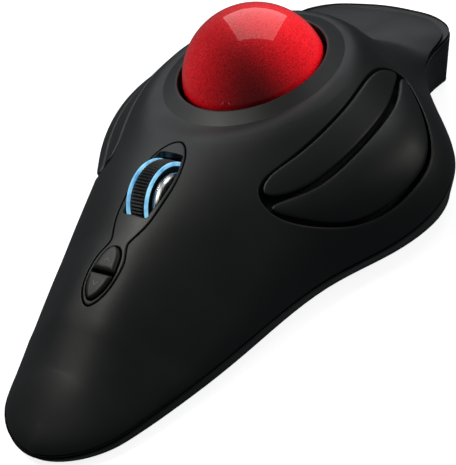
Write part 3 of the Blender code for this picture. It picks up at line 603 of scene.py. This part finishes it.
def light_blue():
    """A lit light guide, a little uneven along its length."""
    n = Nodes("light_blue")
    n.put(Roughness=0.25, Emission_Strength=0.95)
    glow = n.ramp(n.noise(420, 2), ((0.3, (0.08, 0.32, 0.62)), (0.7, (0.30, 0.66, 0.86))))
    n.colour(glow)
    n.link(glow, n.shader.inputs["Emission Color"])
    return n.material


def plated(name, light, dark, rough):
    """Plated metal with fine turning marks and faint patches."""
    n = Nodes(name)
    n.put(Metallic=1.0)
    n.colour(n.ramp(n.noise(260, 4), ((0.3, dark), (0.7, light))))
    n.roughness(n.range(n.noise(900, 3), rough[0], rough[1]))
    n.bump(n.noise(2600, 2), 0.000004)
    return n.material


def board():
    """Solder mask with copper tracks showing through."""
    track, bare = (0.05, 0.26, 0.10), (0.012, 0.10, 0.035)
    n = Nodes("board")
    n.put(Specular_IOR_Level=0.5, Coat_Weight=0.3)
    tracks = n.cells(420, "DISTANCE_TO_EDGE")
    n.colour(n.ramp(tracks, ((0.0, track), (0.08, track), (0.12, bare))))
    n.roughness(n.range(n.noise(600, 3), 0.32, 0.5))
    n.bump(tracks, 0.00002)
    return n.material


def cell_sleeve():
    """Foil sleeve of a dry cell, darker towards one end, with a fine brushed grain."""
    n = Nodes("cell_sleeve")
    n.put(Metallic=0.8)
    axis = n.add("ShaderNodeSeparateXYZ")
    n.link(n.place, axis.inputs["Vector"])
    band = n.range(axis.outputs["Y"], 0, 1, -0.024, -0.0235)
    n.colour(n.mix(band, (0.42, 0.43, 0.45), (0.05, 0.055, 0.06)))
    n.roughness(n.range(n.noise(500, 3), 0.25, 0.42))
    n.bump(n.noise(1500, 2), 0.00001)
    return n.material


def clear_lens():
    """Clear moulded lens, faintly tinted."""
    n = Nodes("clear_lens")
    n.put(Transmission_Weight=0.9, IOR=1.49)
    n.colour(n.ramp(n.noise(300, 2), ((0.3, (0.80, 0.84, 0.86)), (0.7, (0.9, 0.92, 0.94)))))
    n.roughness(n.range(n.noise(900, 2), 0.03, 0.08))
    return n.material


def receiver_plastic():
    """Black plastic body with a steel plug at the rear end."""
    n = Nodes("receiver")
    axis = n.add("ShaderNodeSeparateXYZ")
    n.link(n.place, axis.inputs["Vector"])
    plug_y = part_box("usb_receiver")[0].y + 6.6 * MM
    plug = n.range(axis.outputs["Y"], 1, 0, plug_y - 0.05 * MM, plug_y + 0.05 * MM)
    n.colour(n.mix(plug, (0.018, 0.019, 0.02), (0.62, 0.63, 0.65)))
    n.link(plug, n.shader.inputs["Metallic"])
    n.roughness(n.range(n.noise(700, 3), 0.28, 0.42))
    n.bump(n.noise(2600, 2), 0.000008)
    return n.material


MATERIALS = {
    "soft_touch": moulded("soft_touch", (0.0125, 0.0130, 0.0138), (0.0105, 0.0110, 0.0118), (0.44, 0.50)),
    "button": moulded("button", (0.0115, 0.0120, 0.0126), (0.0098, 0.0102, 0.0108), (0.40, 0.46)),
    "base": moulded(
        "base", (0.0098, 0.0102, 0.0106), (0.0078, 0.0082, 0.0086), (0.40, 0.50), grain=2200, depth=0.00002,
    ),
    "inner": moulded("inner", (0.006, 0.006, 0.0065), (0.004, 0.004, 0.0045), (0.5, 0.6)),
    "rubber": moulded(
        "rubber", (0.010, 0.010, 0.010), (0.007, 0.007, 0.007), (0.50, 0.65), grain=1800, depth=0.00002,
    ),
    "foot": moulded(
        "foot", (0.055, 0.055, 0.057), (0.042, 0.042, 0.044), (0.55, 0.72), grain=1500, depth=0.00003,
        specular=0.35,
    ),
    "mark": moulded("mark", (0.26, 0.26, 0.27), (0.20, 0.20, 0.21), (0.5, 0.6)),
    "ball_red": ball_red(),
    "light_blue": light_blue(),
    "chrome": plated("chrome", (0.86, 0.86, 0.87), (0.76, 0.76, 0.78), (0.24, 0.34)),
    "steel": plated("steel", (0.55, 0.56, 0.58), (0.42, 0.43, 0.45), (0.28, 0.42)),
    "board": board(),
    "cell_sleeve": cell_sleeve(),
    "clear_lens": clear_lens(),
    "receiver": receiver_plastic(),
}


# ---------------------------------------------------------------- shells
def top_shell():
    """The upper shell: a walled sheet cut at the seam, for the ball, the wing buttons and the panel."""
    edge = BODY_EDGE[::2]
    sheet = surface(edge, np.sin(np.linspace(0, 1, 40) * math.pi / 2))
    shell = walled(relaxed_ends(mesh_of("sheet", [(sheet, False, False)], turn_out=False)), SHELL)
    wide = edge * 1.05
    rim_top = seam_z(wide[:, 1]) + 0.5 * GAP + TOP_RIM_ROUND
    boolean(shell, half_block("seam", [(wide, 10 * UNDER_BASE), (wide, rim_top)]), "DIFFERENCE")
    holes = [(smooth_loop(RECESS, 12) * (sign, 1), RECESS_ROUND, RECESS_DEPTH) for _, sign in sides()]
    holes.append((mirrored_loop(PANEL, 12), PANEL_HOLE_ROUND, PANEL_HOLE_DEPTH))
    loops = [circle(BALL_CENTRE, BAND_R - 0.02 * MM, 192)]
    loops += [grown(loop, radius) for loop, radius, _ in holes]
    for loop in loops:
        boolean(shell, prism("hole", loop, CUT_LOW, CUT_HIGH), "DIFFERENCE")
    lips = [lip(*hole, 1) for hole in holes]
    mesh = joined(baked(shell), collar_band(), *lips, rim_strip(edge, TOP_RIM_ROUND))
    obj = piece("top_shell_skin", mesh, "housing", MATERIALS["soft_touch"], ["top_shell"])


def half_block(name, levels):
    """A closed block symmetric about X = 0, through right-half plan loops, each with its heights."""
    bm = bmesh.new()
    rings = [
        [bm.verts.new((max(x, 0), y, z)) for (x, y), z in zip(loop, np.broadcast_to(heights, len(loop)))]
        for loop, heights in levels
    ]
    for low, high in zip(rings, rings[1:]):
        for a, b, c, d in zip(low, low[1:], high[1:], high):
            bm.faces.new((a, b, c, d))
    for ring, upward in ((rings[0], False), (rings[-1], True)):
        between = [bm.verts.new((0, vert.co.y, vert.co.z)) for vert in ring[1:-1]]
        spine = [ring[0], *between, ring[-1]]
        for a, b, c, d in zip(ring, ring[1:], spine[1:], spine):
            corners = [a, b, c, d]
            corners = [vert for k, vert in enumerate(corners) if vert not in corners[:k]]
            bm.faces.new(corners if upward else corners[::-1])
    bmesh.ops.recalc_face_normals(bm, faces=bm.faces)
    mesh = bpy.data.meshes.new(name)
    bm.to_mesh(mesh)
    bm.free()
    obj = helper(name, mesh)
    obj.modifiers.new("Halves", "MIRROR").merge_threshold = 0.00001
    return obj


def edge_sides(step):
    """Unit plan vectors that point into the body from every step-th point of its edge.

    They are worked out at every 12th point, because finer ones cross where the edge bends sharply.
    """
    edge = BODY_EDGE[::12]
    along = np.gradient(edge, axis=0)
    side = np.column_stack([-along[:, 1], along[:, 0]])
    side[0] = (0, 1)
    side[-1] = (0, -1)
    side /= np.linalg.norm(side, axis=1)[:, None]
    places = np.arange(0, len(BODY_EDGE), step)
    known = np.arange(len(edge)) * 12
    side = np.column_stack([np.interp(places, known, side[:, k]) for k in (0, 1)])
    return side / np.linalg.norm(side, axis=1)[:, None]


def both_sides(grid):
    """The right half's rows and their mirror image, as two grids."""
    return [(grid, False, False), ((grid * (-1, 1, 1))[:, ::-1], False, False)]


def rim_strip(edge, radius):
    """The rounded lower edge of the top shell, just above the seam."""
    side = edge_sides(2)
    low = seam_z(edge[:, 1]) + 0.5 * GAP
    rows = [(edge, low + radius + 0.05 * MM)]
    for angle in np.linspace(0, math.pi / 2, 6):
        inset = radius * (1 - math.cos(angle))
        rows.append((edge + side * inset, low + radius * (1 - math.sin(angle))))
    rows.append((edge + side * SHELL, low))
    grid = np.array([np.column_stack([plan, z]) for plan, z in rows])
    return mesh_of("rim", both_sides(grid), turn_out=False)


def collar_band():
    """The cone round the ball, its rounded inner rim and the body just outside it, ring by ring."""
    count = 192
    angles = np.arange(count) * 2 * math.pi / count
    ray = np.column_stack([np.cos(angles), np.sin(angles)])
    rim_radius = 0.55 * MM
    outer = np.linspace(BAND_R, COLLAR_R + 0.5 * MM, 10)
    corner = COLLAR_R + np.array([0.25, 0.1, 0]) * MM
    inner = np.linspace(COLLAR_R - 0.15 * MM, OPENING_R + rim_radius, 8)
    centre = np.array(BALL_CENTRE[:2])
    rows = [on_body(centre + ray * radius, 0) for radius in np.concatenate([outer, corner, inner])]
    for inset, drop in round_over(rim_radius):
        radius = OPENING_R + inset
        ring = on_body(centre + ray * radius, 0)
        ring[:, 2] -= drop
        rows.append(ring)
    foot = rows[-1].copy()
    foot[:, 2] -= 3 * MM
    rows.append(foot)
    return facing_up(mesh_of("collar", [(np.array(rows), False, True)], turn_out=False))


def hollow():
    """The room inside the base."""
    edge = BODY_EDGE[::12]
    side = edge_sides(12)
    inset = np.interp(edge[:, 1], BASE_INSET[:, 0], BASE_INSET[:, 1])[:, None]
    top = seam_z(edge[:, 1])
    foot, rim = edge + side * (inset + SHELL), edge + side * SHELL
    return half_block("hollow", [(foot, FLOOR_Z + 1.5 * MM), (rim, top), (rim, top + 20 * MM)])


def base_wall():
    """The base's outer form as a solid block, rounded at its foot and at the seam."""
    edge = BODY_EDGE[::4]
    side = edge_sides(4)
    inset = np.interp(edge[:, 1], BASE_INSET[:, 0], BASE_INSET[:, 1])[:, None]
    foot = edge + side * inset
    top = seam_z(edge[:, 1]) - 0.5 * GAP
    radius = np.interp(edge[:, 1], BASE_ROUND[:, 0], BASE_ROUND[:, 1])
    levels = []
    for angle in np.linspace(0, math.pi / 2, 8):
        rounding = radius[:, None] * (1 - math.sin(angle))
        levels.append((foot + side * rounding, FLOOR_Z + radius * (1 - math.cos(angle))))
    seam_radius = 0.3 * MM
    low = FLOOR_Z + radius
    for part in (0.3, 0.6, 0.85):
        levels.append((foot + (edge - foot) * part, low + (top - seam_radius - low) * part))
    for angle in np.linspace(0, math.pi / 2, 4):
        inset = seam_radius * (1 - math.cos(angle))
        levels.append((edge + side * inset, top - seam_radius * (1 - math.sin(angle))))
    return half_block("base", levels)


def middle_and_size(name):
    """Centre and size of a CAD node's box."""
    low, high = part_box(name)
    return (low + high) / 2, high - low


def base_shell():
    """The lower shell: a hollow block with wells for the feet and screws, two bays and a switch slot."""
    shell = base_wall()
    tools = [hollow()]
    for name in FEET:
        middle, size = middle_and_size(name)
        tools.append(prism("well", circle(middle, size.x / 2 + GAP, 64), UNDER_BASE, FOOT_WELL_TOP))
    for name in SCREWS:
        middle, _ = middle_and_size(name)
        tools.append(prism("well", circle(middle, SCREW_WELL_R, 48), UNDER_BASE, SCREW_WELL_TOP))
    for name in ("battery_door", "usb_receiver"):
        low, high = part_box(name)
        bay_low = (low.x - GAP, low.y - GAP, UNDER_BASE)
        bay_high = (high.x + GAP, high.y + GAP, BAY_TOP)
        tools.append(block("bay", bay_low, bay_high))
    middle, _ = middle_and_size("power_switch")
    slot_low, slot_high = (np.array(middle[:2]) + corner for corner in SWITCH_SLOT)
    tools.append(block("slide", (*slot_low, UNDER_BASE), (*slot_high, BAY_TOP)))
    for tool in tools:
        boolean(shell, tool, "DIFFERENCE")
    obj = piece("base_shell_skin", baked(shell), "housing", MATERIALS["base"], ["base_shell"])


# ---------------------------------------------------------------- ball
def trackball():
    """A true sphere where the CAD has its ball."""
    count, rings = 128, 64
    turn = np.arange(count) * 2 * math.pi / count
    tilt = np.linspace(0, math.pi, rings + 1)[:, None]
    grid = np.stack([
        np.sin(tilt) * np.cos(turn), np.sin(tilt) * np.sin(turn), np.cos(tilt) * np.ones(count),
    ], axis=-1)
    mesh = mesh_of("trackball_gloss", [(grid * BALL_R + np.array(BALL_CENTRE), False, True)])
    obj = piece("trackball_gloss", mesh, "ball", MATERIALS["ball_red"], ["trackball"])


# ---------------------------------------------------------------- wing buttons
def between_tips(loop_points, tips, per_span, count, extra):
    """A crescent's two edges, each with count points from its first tip to its second."""
    loop = grown(smooth_loop(loop_points, per_span), extra)
    first, second = (tip * per_span for tip in tips)
    edges = (loop[first: second + 1], np.vstack([loop[second:], loop[:1]])[::-1])
    share = (1 - np.cos(np.linspace(0, math.pi, count))) / 2
    resampled = []
    for edge in edges:
        length = np.concatenate([[0], np.cumsum(np.linalg.norm(np.diff(edge, axis=0), axis=1))])
        places = share * length[-1]
        resampled.append(np.column_stack([np.interp(places, length, edge[:, k]) for k in (0, 1)]))
    return resampled


def crescent(name, loop_points, tips, sign, rise, crown):
    """A domed crescent button: rungs run from its inner edge to its outer edge."""
    outer, inner = between_tips(loop_points, tips, 24, 120, BUTTON_GROWTH)
    parts = (1 - np.cos(np.linspace(0, math.pi, 26))) / 2
    plan = inner[:, None] + (outer - inner)[:, None] * parts[None, :, None]
    width = np.linalg.norm(outer - inner, axis=1)[:, None]
    along = np.linspace(0, 1, len(outer))[:, None]
    near_edge = np.minimum(parts, 1 - parts)[None, :] * width
    reach = np.clip(near_edge / BUTTON_ROUND, 0, 1)
    drop = BUTTON_ROUND * (1 - np.sqrt(np.clip(1 - (1 - reach) ** 2, 0, 1)))
    dome = crown * 4 * (parts * (1 - parts))[None, :] * np.sin(math.pi * along) ** 0.7
    top = on_body(plan, rise - drop + dome)
    under = on_body(plan, -BUTTON_SKIRT)
    under[..., 2] = np.minimum(under[..., 2], top[..., 2] - 0.1 * MM)
    mirror = np.array((sign, 1, 1))
    mesh = mesh_of(name, slab(top * mirror, under * mirror, pointed=True))
    obj = piece(name + "_skin", mesh, name, MATERIALS["button"], [name], 50)


def wing_buttons():
    """A large and a narrow crescent on each wing."""
    for word, sign in sides():
        crescent("main_button_" + word, MAIN_BUTTON, MAIN_TIPS, sign, rise=0, crown=0.5 * MM)
        crescent("side_button_" + word, SIDE_BUTTON, SIDE_TIPS, sign, rise=0.1 * MM, crown=0.2 * MM)


# ---------------------------------------------------------------- centre panel and its two buttons
def centre_panel():
    """The hourglass panel: a walled sheet trimmed to its outline and cut for the wheel and buttons."""
    plan = np.stack(np.meshgrid(np.linspace(0, 7.5, 18), np.linspace(-49, -2, 90)), axis=-1) * MM
    sheet = on_body(plan, 0)
    panel = walled(mesh_of("sheet", [(sheet, False, False)], turn_out=False), PANEL_WALL)
    cuts = (
        (grown(mirrored_loop(PANEL, 12), -GAP), -1, "INTERSECT"),
        (mirrored_loop(SLOT, 8), 1, "DIFFERENCE"),
        (mirrored_loop(DPI_PAIR, 12), 1, "DIFFERENCE"),
    )
    for loop, outside, operation in cuts:
        tool = prism("cut", grown(loop, outside * PANEL_ROUND), CUT_LOW, CUT_HIGH)
        boolean(panel, tool, operation)
    lips = [lip(loop, PANEL_ROUND, PANEL_WALL, outside) for loop, outside, _ in cuts]
    mesh = joined(baked(panel), *lips)
    obj = piece("centre_panel_skin", mesh, "housing", MATERIALS["button"], ["centre_panel"])


def dpi_button(word):
    """One half of the oval pair: domed, straight along the split and rounded at its tip."""
    tip_up = word == "up"
    loop = grown(mirrored_loop(DPI_PAIR, 24), -GAP)
    right = loop[loop[:, 0] >= -1e-9]
    right = right[np.argsort(right[:, 1])]
    low_y = DPI_SPLIT_Y + DPI_HALF_GAP if tip_up else right[0, 1]
    high_y = right[-1, 1] if tip_up else DPI_SPLIT_Y - DPI_HALF_GAP
    share = np.linspace(0, 1, 40)
    share = np.sin(share * math.pi / 2) if tip_up else 1 - np.sin((1 - share) * math.pi / 2)
    ys = low_y + (high_y - low_y) * share
    widths = np.interp(ys, right[:, 1], right[:, 0])
    widths[-1 if tip_up else 0] = 0
    us = np.sin(np.linspace(-1, 1, 33) * math.pi / 2)
    xs = widths[:, None] * us[None, :]
    plan = np.stack([xs, np.broadcast_to(ys[:, None], xs.shape)], axis=-1)
    split = ys - low_y if tip_up else high_y - ys
    near_edge = np.minimum((1 - np.abs(us))[None, :] * widths[:, None], split[:, None])
    reach = np.clip(near_edge / DPI_ROUND, 0, 1)
    lift = DPI_RISE * np.sqrt(np.clip(1 - (1 - reach) ** 2, 0, 1))
    body = "dpi_button_" + word
    mesh = mesh_of(body, slab(on_body(plan, lift), on_body(plan, -DPI_SKIRT)))
    obj = piece(body + "_skin", mesh, body, MATERIALS["button"], [body], 50)
    middle = low_y + (high_y - low_y) * (0.42 if tip_up else 0.58)
    chevron("dpi_mark_" + word, middle, 1 if tip_up else -1, body)


def chevron(name, y, way, body):
    """A small arrowhead mark that lies on a button."""
    arm, wide = 0.75 * MM, 0.22 * MM
    path = np.array([(-arm, y - way * arm * 0.5), (0, y + way * arm * 0.5), (arm, y - way * arm * 0.5)])
    top = np.array([on_body(path + (0, offset), 0.70 * MM) for offset in (-wide / 2, wide / 2)])
    under = top - (0, 0, 0.12 * MM)
    obj = piece(name, mesh_of(name, slab(top, under)), body, MATERIALS["mark"])


def dpi_buttons():
    """The pair of small buttons below the wheel."""
    for word in ("up", "down"):
        dpi_button(word)


# ---------------------------------------------------------------- wheel
def wheel_tyre():
    """Rubber tyre with fine ribs across it and a slightly rounded tread."""
    ribs, per_rib = 72, 6
    count = ribs * per_rib
    angles = np.arange(count) * 2 * math.pi / count
    inner = TYRE_R - 2.5 * MM
    tread = np.linspace(-1, 1, 13)
    crown = 0.35 * MM * np.abs(tread) ** 4
    groove = 0.32 * MM * (0.5 - 0.5 * np.cos(angles * ribs)) ** 0.7
    radius = TYRE_R - crown[None, :] - groove[:, None] * (1 - 0.6 * np.abs(tread) ** 6)[None, :]
    radius = np.column_stack([np.full(count, inner), radius, np.full(count, inner)])
    xs = np.concatenate([[-1], tread, [1]]) * TYRE_HALF
    grid = np.stack([
        np.broadcast_to(xs, radius.shape), radius * np.cos(angles)[:, None], radius * np.sin(angles)[:, None],
    ], axis=-1) + np.array(WHEEL_CENTRE)
    mesh = mesh_of("wheel_tyre_ribbed", [(grid, True, True)])
    obj = piece("wheel_tyre_ribbed", mesh, "wheel", MATERIALS["rubber"], ["wheel_tyre"])


def wheel_ring(word):
    """A lit ring beside the tyre."""
    half = 0.27 * MM
    inner = RING_R - 0.9 * MM
    ring = fillet([(RING_R, half), (RING_R, -half), (inner, -half), (inner, half)], 0.2 * MM)
    name = "wheel_light_ring_" + word
    centre, _ = middle_and_size(name)
    obj = wheel_piece(name + "_glow", ring, centre, "light_blue", name, 128)


def wheel_cap(word, sign):
    """A bright dished cap outside the ring, with a bore for the axle."""
    out = sign * (CAP_HIGH.x - CAP_LOW.x) / 2
    bore = 1.3 * MM
    dish = fillet([
        (CAP_R, -out), (CAP_R, out * 0.3), (CAP_R - 0.7 * MM, out), (CAP_R - 2.4 * MM, out),
        (CAP_R - 3.2 * MM, out * 0.2), (bore, out * 0.2), (bore, -out),
    ], 0.2 * MM)
    name = "wheel_cap_" + word
    centre, _ = middle_and_size(name)
    obj = wheel_piece(name + "_chrome", dish, centre, "chrome", name, 96)


# ---------------------------------------------------------------- CAD nodes that stay, with softened edges
def dress(node, material):
    """A CAD node that stays in view: its edges softened, and a finished material."""
    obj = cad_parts[node]
    bevel = obj.modifiers.new("Soft edges", "BEVEL")
    bevel.width = 0.12 * MM
    bevel.segments = 2
    bevel.limit_method = "ANGLE"
    bevel.angle_limit = math.radians(40)
    bevel.harden_normals = True
    obj.data.materials.clear()
    obj.data.materials.append(MATERIALS[material])
    obj.data.shade_smooth()
    obj.data.set_sharp_from_angle(angle=math.radians(40))


def inner_pieces():
    """Every CAD node that has no visual piece of its own, with what it wears."""
    wear = {
        "inner": ["ball_cup", "optical_sensor", "wheel_hub", "wheel_carrier", "wheel_switch", "power_switch"],
        "board": ["main_board", "dpi_board", "wheel_board", "wheel_encoder"],
        "steel": ["ball_bearing_1", "ball_bearing_2", "ball_bearing_3", "battery_plate", "battery_spring",
                  *SCREWS],
        "foot": FEET,
        "cell_sleeve": ["battery"],
        "clear_lens": ["sensor_lens"],
        "receiver": ["usb_receiver"],
        "base": ["battery_door"],
    }
    for word, _ in sides():
        wear["inner"] += ["button_tray_" + word, "main_switch_" + word, "side_switch_" + word]
        wear["board"] += ["switch_board_" + word]
    for word in ("up", "down"):
        wear["inner"] += ["dpi_switch_" + word]
    for material, nodes in wear.items():
        for node in nodes:
            dress(node, material)


# ---------------------------------------------------------------- floor, lights and camera
CAMERA_TARGET = Vector((19.2, -18.2, 22.0)) * MM
AZIMUTH, ELEVATION, ROLL = 131.28, 35.89, -20.99
DISTANCE = 392.4 * MM
FOCAL_LENGTH, SENSOR_WIDTH = 142.5, 36


def sky_way(azimuth, elevation):
    """A unit vector towards a place in the sky; azimuth 0 is +Y and 90 is +X."""
    azimuth, elevation = math.radians(azimuth), math.radians(elevation)
    return Vector((
        math.sin(azimuth) * math.cos(elevation), math.cos(azimuth) * math.cos(elevation), math.sin(elevation),
    ))


def camera_axes():
    """Right, up and backward unit vectors of the camera."""
    back = sky_way(AZIMUTH, ELEVATION)
    level = Vector((0, 0, 1)).cross(back).normalized()
    upright = back.cross(level)
    roll = math.radians(ROLL)
    right = level * math.cos(roll) + upright * math.sin(roll)
    return right, back.cross(right), back


def camera():
    """The camera at the photo's angle."""
    right, up, back = camera_axes()
    data = bpy.data.cameras.new("camera")
    data.lens = FOCAL_LENGTH
    data.sensor_width = SENSOR_WIDTH
    data.clip_start = 10 * MM
    obj = bpy.data.objects.new("camera", data)
    bpy.context.scene.collection.objects.link(obj)
    turn = Matrix((right, up, back)).transposed().to_4x4()
    obj.matrix_world = Matrix.Translation(CAMERA_TARGET + back * DISTANCE) @ turn
    bpy.context.scene.camera = obj


def panel_light(name, way, distance, size, radiance, colour=(1, 1, 1), level=None, only=(), without=()):
    """A soft panel that faces the object from one way. It can be kept to some objects or from some."""
    data = bpy.data.lights.new(name, "AREA")
    data.shape = "RECTANGLE"
    data.size, data.size_y = size
    data.energy = radiance * math.pi * size[0] * size[1]
    data.color = colour
    obj = bpy.data.objects.new(name, data)
    bpy.context.scene.collection.objects.link(obj)
    level = level or Vector((0, 0, 1)).cross(way).normalized()
    turn = Matrix((level, way.cross(level), way)).transposed().to_4x4()
    obj.matrix_world = Matrix.Translation(Vector((0, 0, 20 * MM)) + way * distance) @ turn
    if only or without:
        linked = bpy.data.collections.new(name)
        for each in (*only, *without):
            linked.objects.link(bpy.data.objects[each])
        for entry in linked.collection_objects:
            entry.light_linking.link_state = "INCLUDE" if only else "EXCLUDE"
        obj.light_linking.receiver_collection = linked
    return obj


def floor():
    """A plain white floor that shines by itself and casts no light on the object."""
    bm = bmesh.new()
    bmesh.ops.create_grid(bm, x_segments=8, y_segments=8, size=4)
    mesh = bpy.data.meshes.new("floor")
    bm.to_mesh(mesh)
    bm.free()
    obj = bpy.data.objects.new("floor", mesh)
    bpy.context.scene.collection.objects.link(obj)
    n = Nodes("floor")
    n.colour(n.ramp(n.noise(3, 2), ((0.3, (0.78, 0.78, 0.78)), (0.7, (0.82, 0.82, 0.82)))))
    n.put(Roughness=0.9, Specular_IOR_Level=0.1, Emission_Strength=0.86)
    n.shader.inputs["Emission Color"].default_value = (1, 1, 1, 1)
    mesh.materials.append(n.material)
    obj.visible_diffuse = False
    obj.visible_glossy = False


def studio():
    """Soft panels round the object, and panels kept to the ball and to one wheel cap."""
    world = bpy.data.worlds.new("studio")
    world.use_nodes = True
    sky = world.node_tree.nodes["Background"]
    sky.inputs["Color"].default_value = (0.86, 0.96, 1, 1)
    sky.inputs["Strength"].default_value = 0.08
    bpy.context.scene.world = world
    ball = ["trackball_gloss"]
    cap = ["wheel_cap_right_chrome"]
    warm = (1.0, 0.98, 0.91)
    panel_light("back", sky_way(-49, 37), 1.2, (1.2, 0.55), 1.5, (0.93, 0.97, 1.0), without=ball)
    panel_light("left", sky_way(-98, 62), 1.1, (0.36, 0.26), 11, warm, without=ball)
    panel_light("right", sky_way(10, 52), 1.2, (0.4, 0.25), 3.5, (0.97, 0.99, 1.0), without=ball)
    panel_light("shoulder", sky_way(54, 26), 1.2, (0.28, 0.28), 6, warm, without=ball)
    panel_light("wheel_cap_light", sky_way(110, 35), 0.8, (0.4, 0.4), 5.0, warm, only=cap)
    right, up, _ = camera_axes()
    softbox = panel_light("ball_softbox", up, 0.8, (0.8, 1.1), 1.4, level=right, only=ball)
    softbox.visible_diffuse = False
    for name, azimuth, radiance in (("ball_left", -108, 11), ("ball_right", 26, 21)):
        side = panel_light(name, sky_way(azimuth, 20), 0.9, (0.5, 0.5), radiance, only=ball)
        side.visible_glossy = False
    bpy.context.scene.view_settings.view_transform = "Standard"


camera()
top_shell()
base_shell()
trackball()
wing_buttons()
centre_panel()
dpi_buttons()
wheel_tyre()
for side_word, side_sign in sides():
    wheel_ring(side_word)
    wheel_cap(side_word, side_sign)
inner_pieces()
floor()
studio()
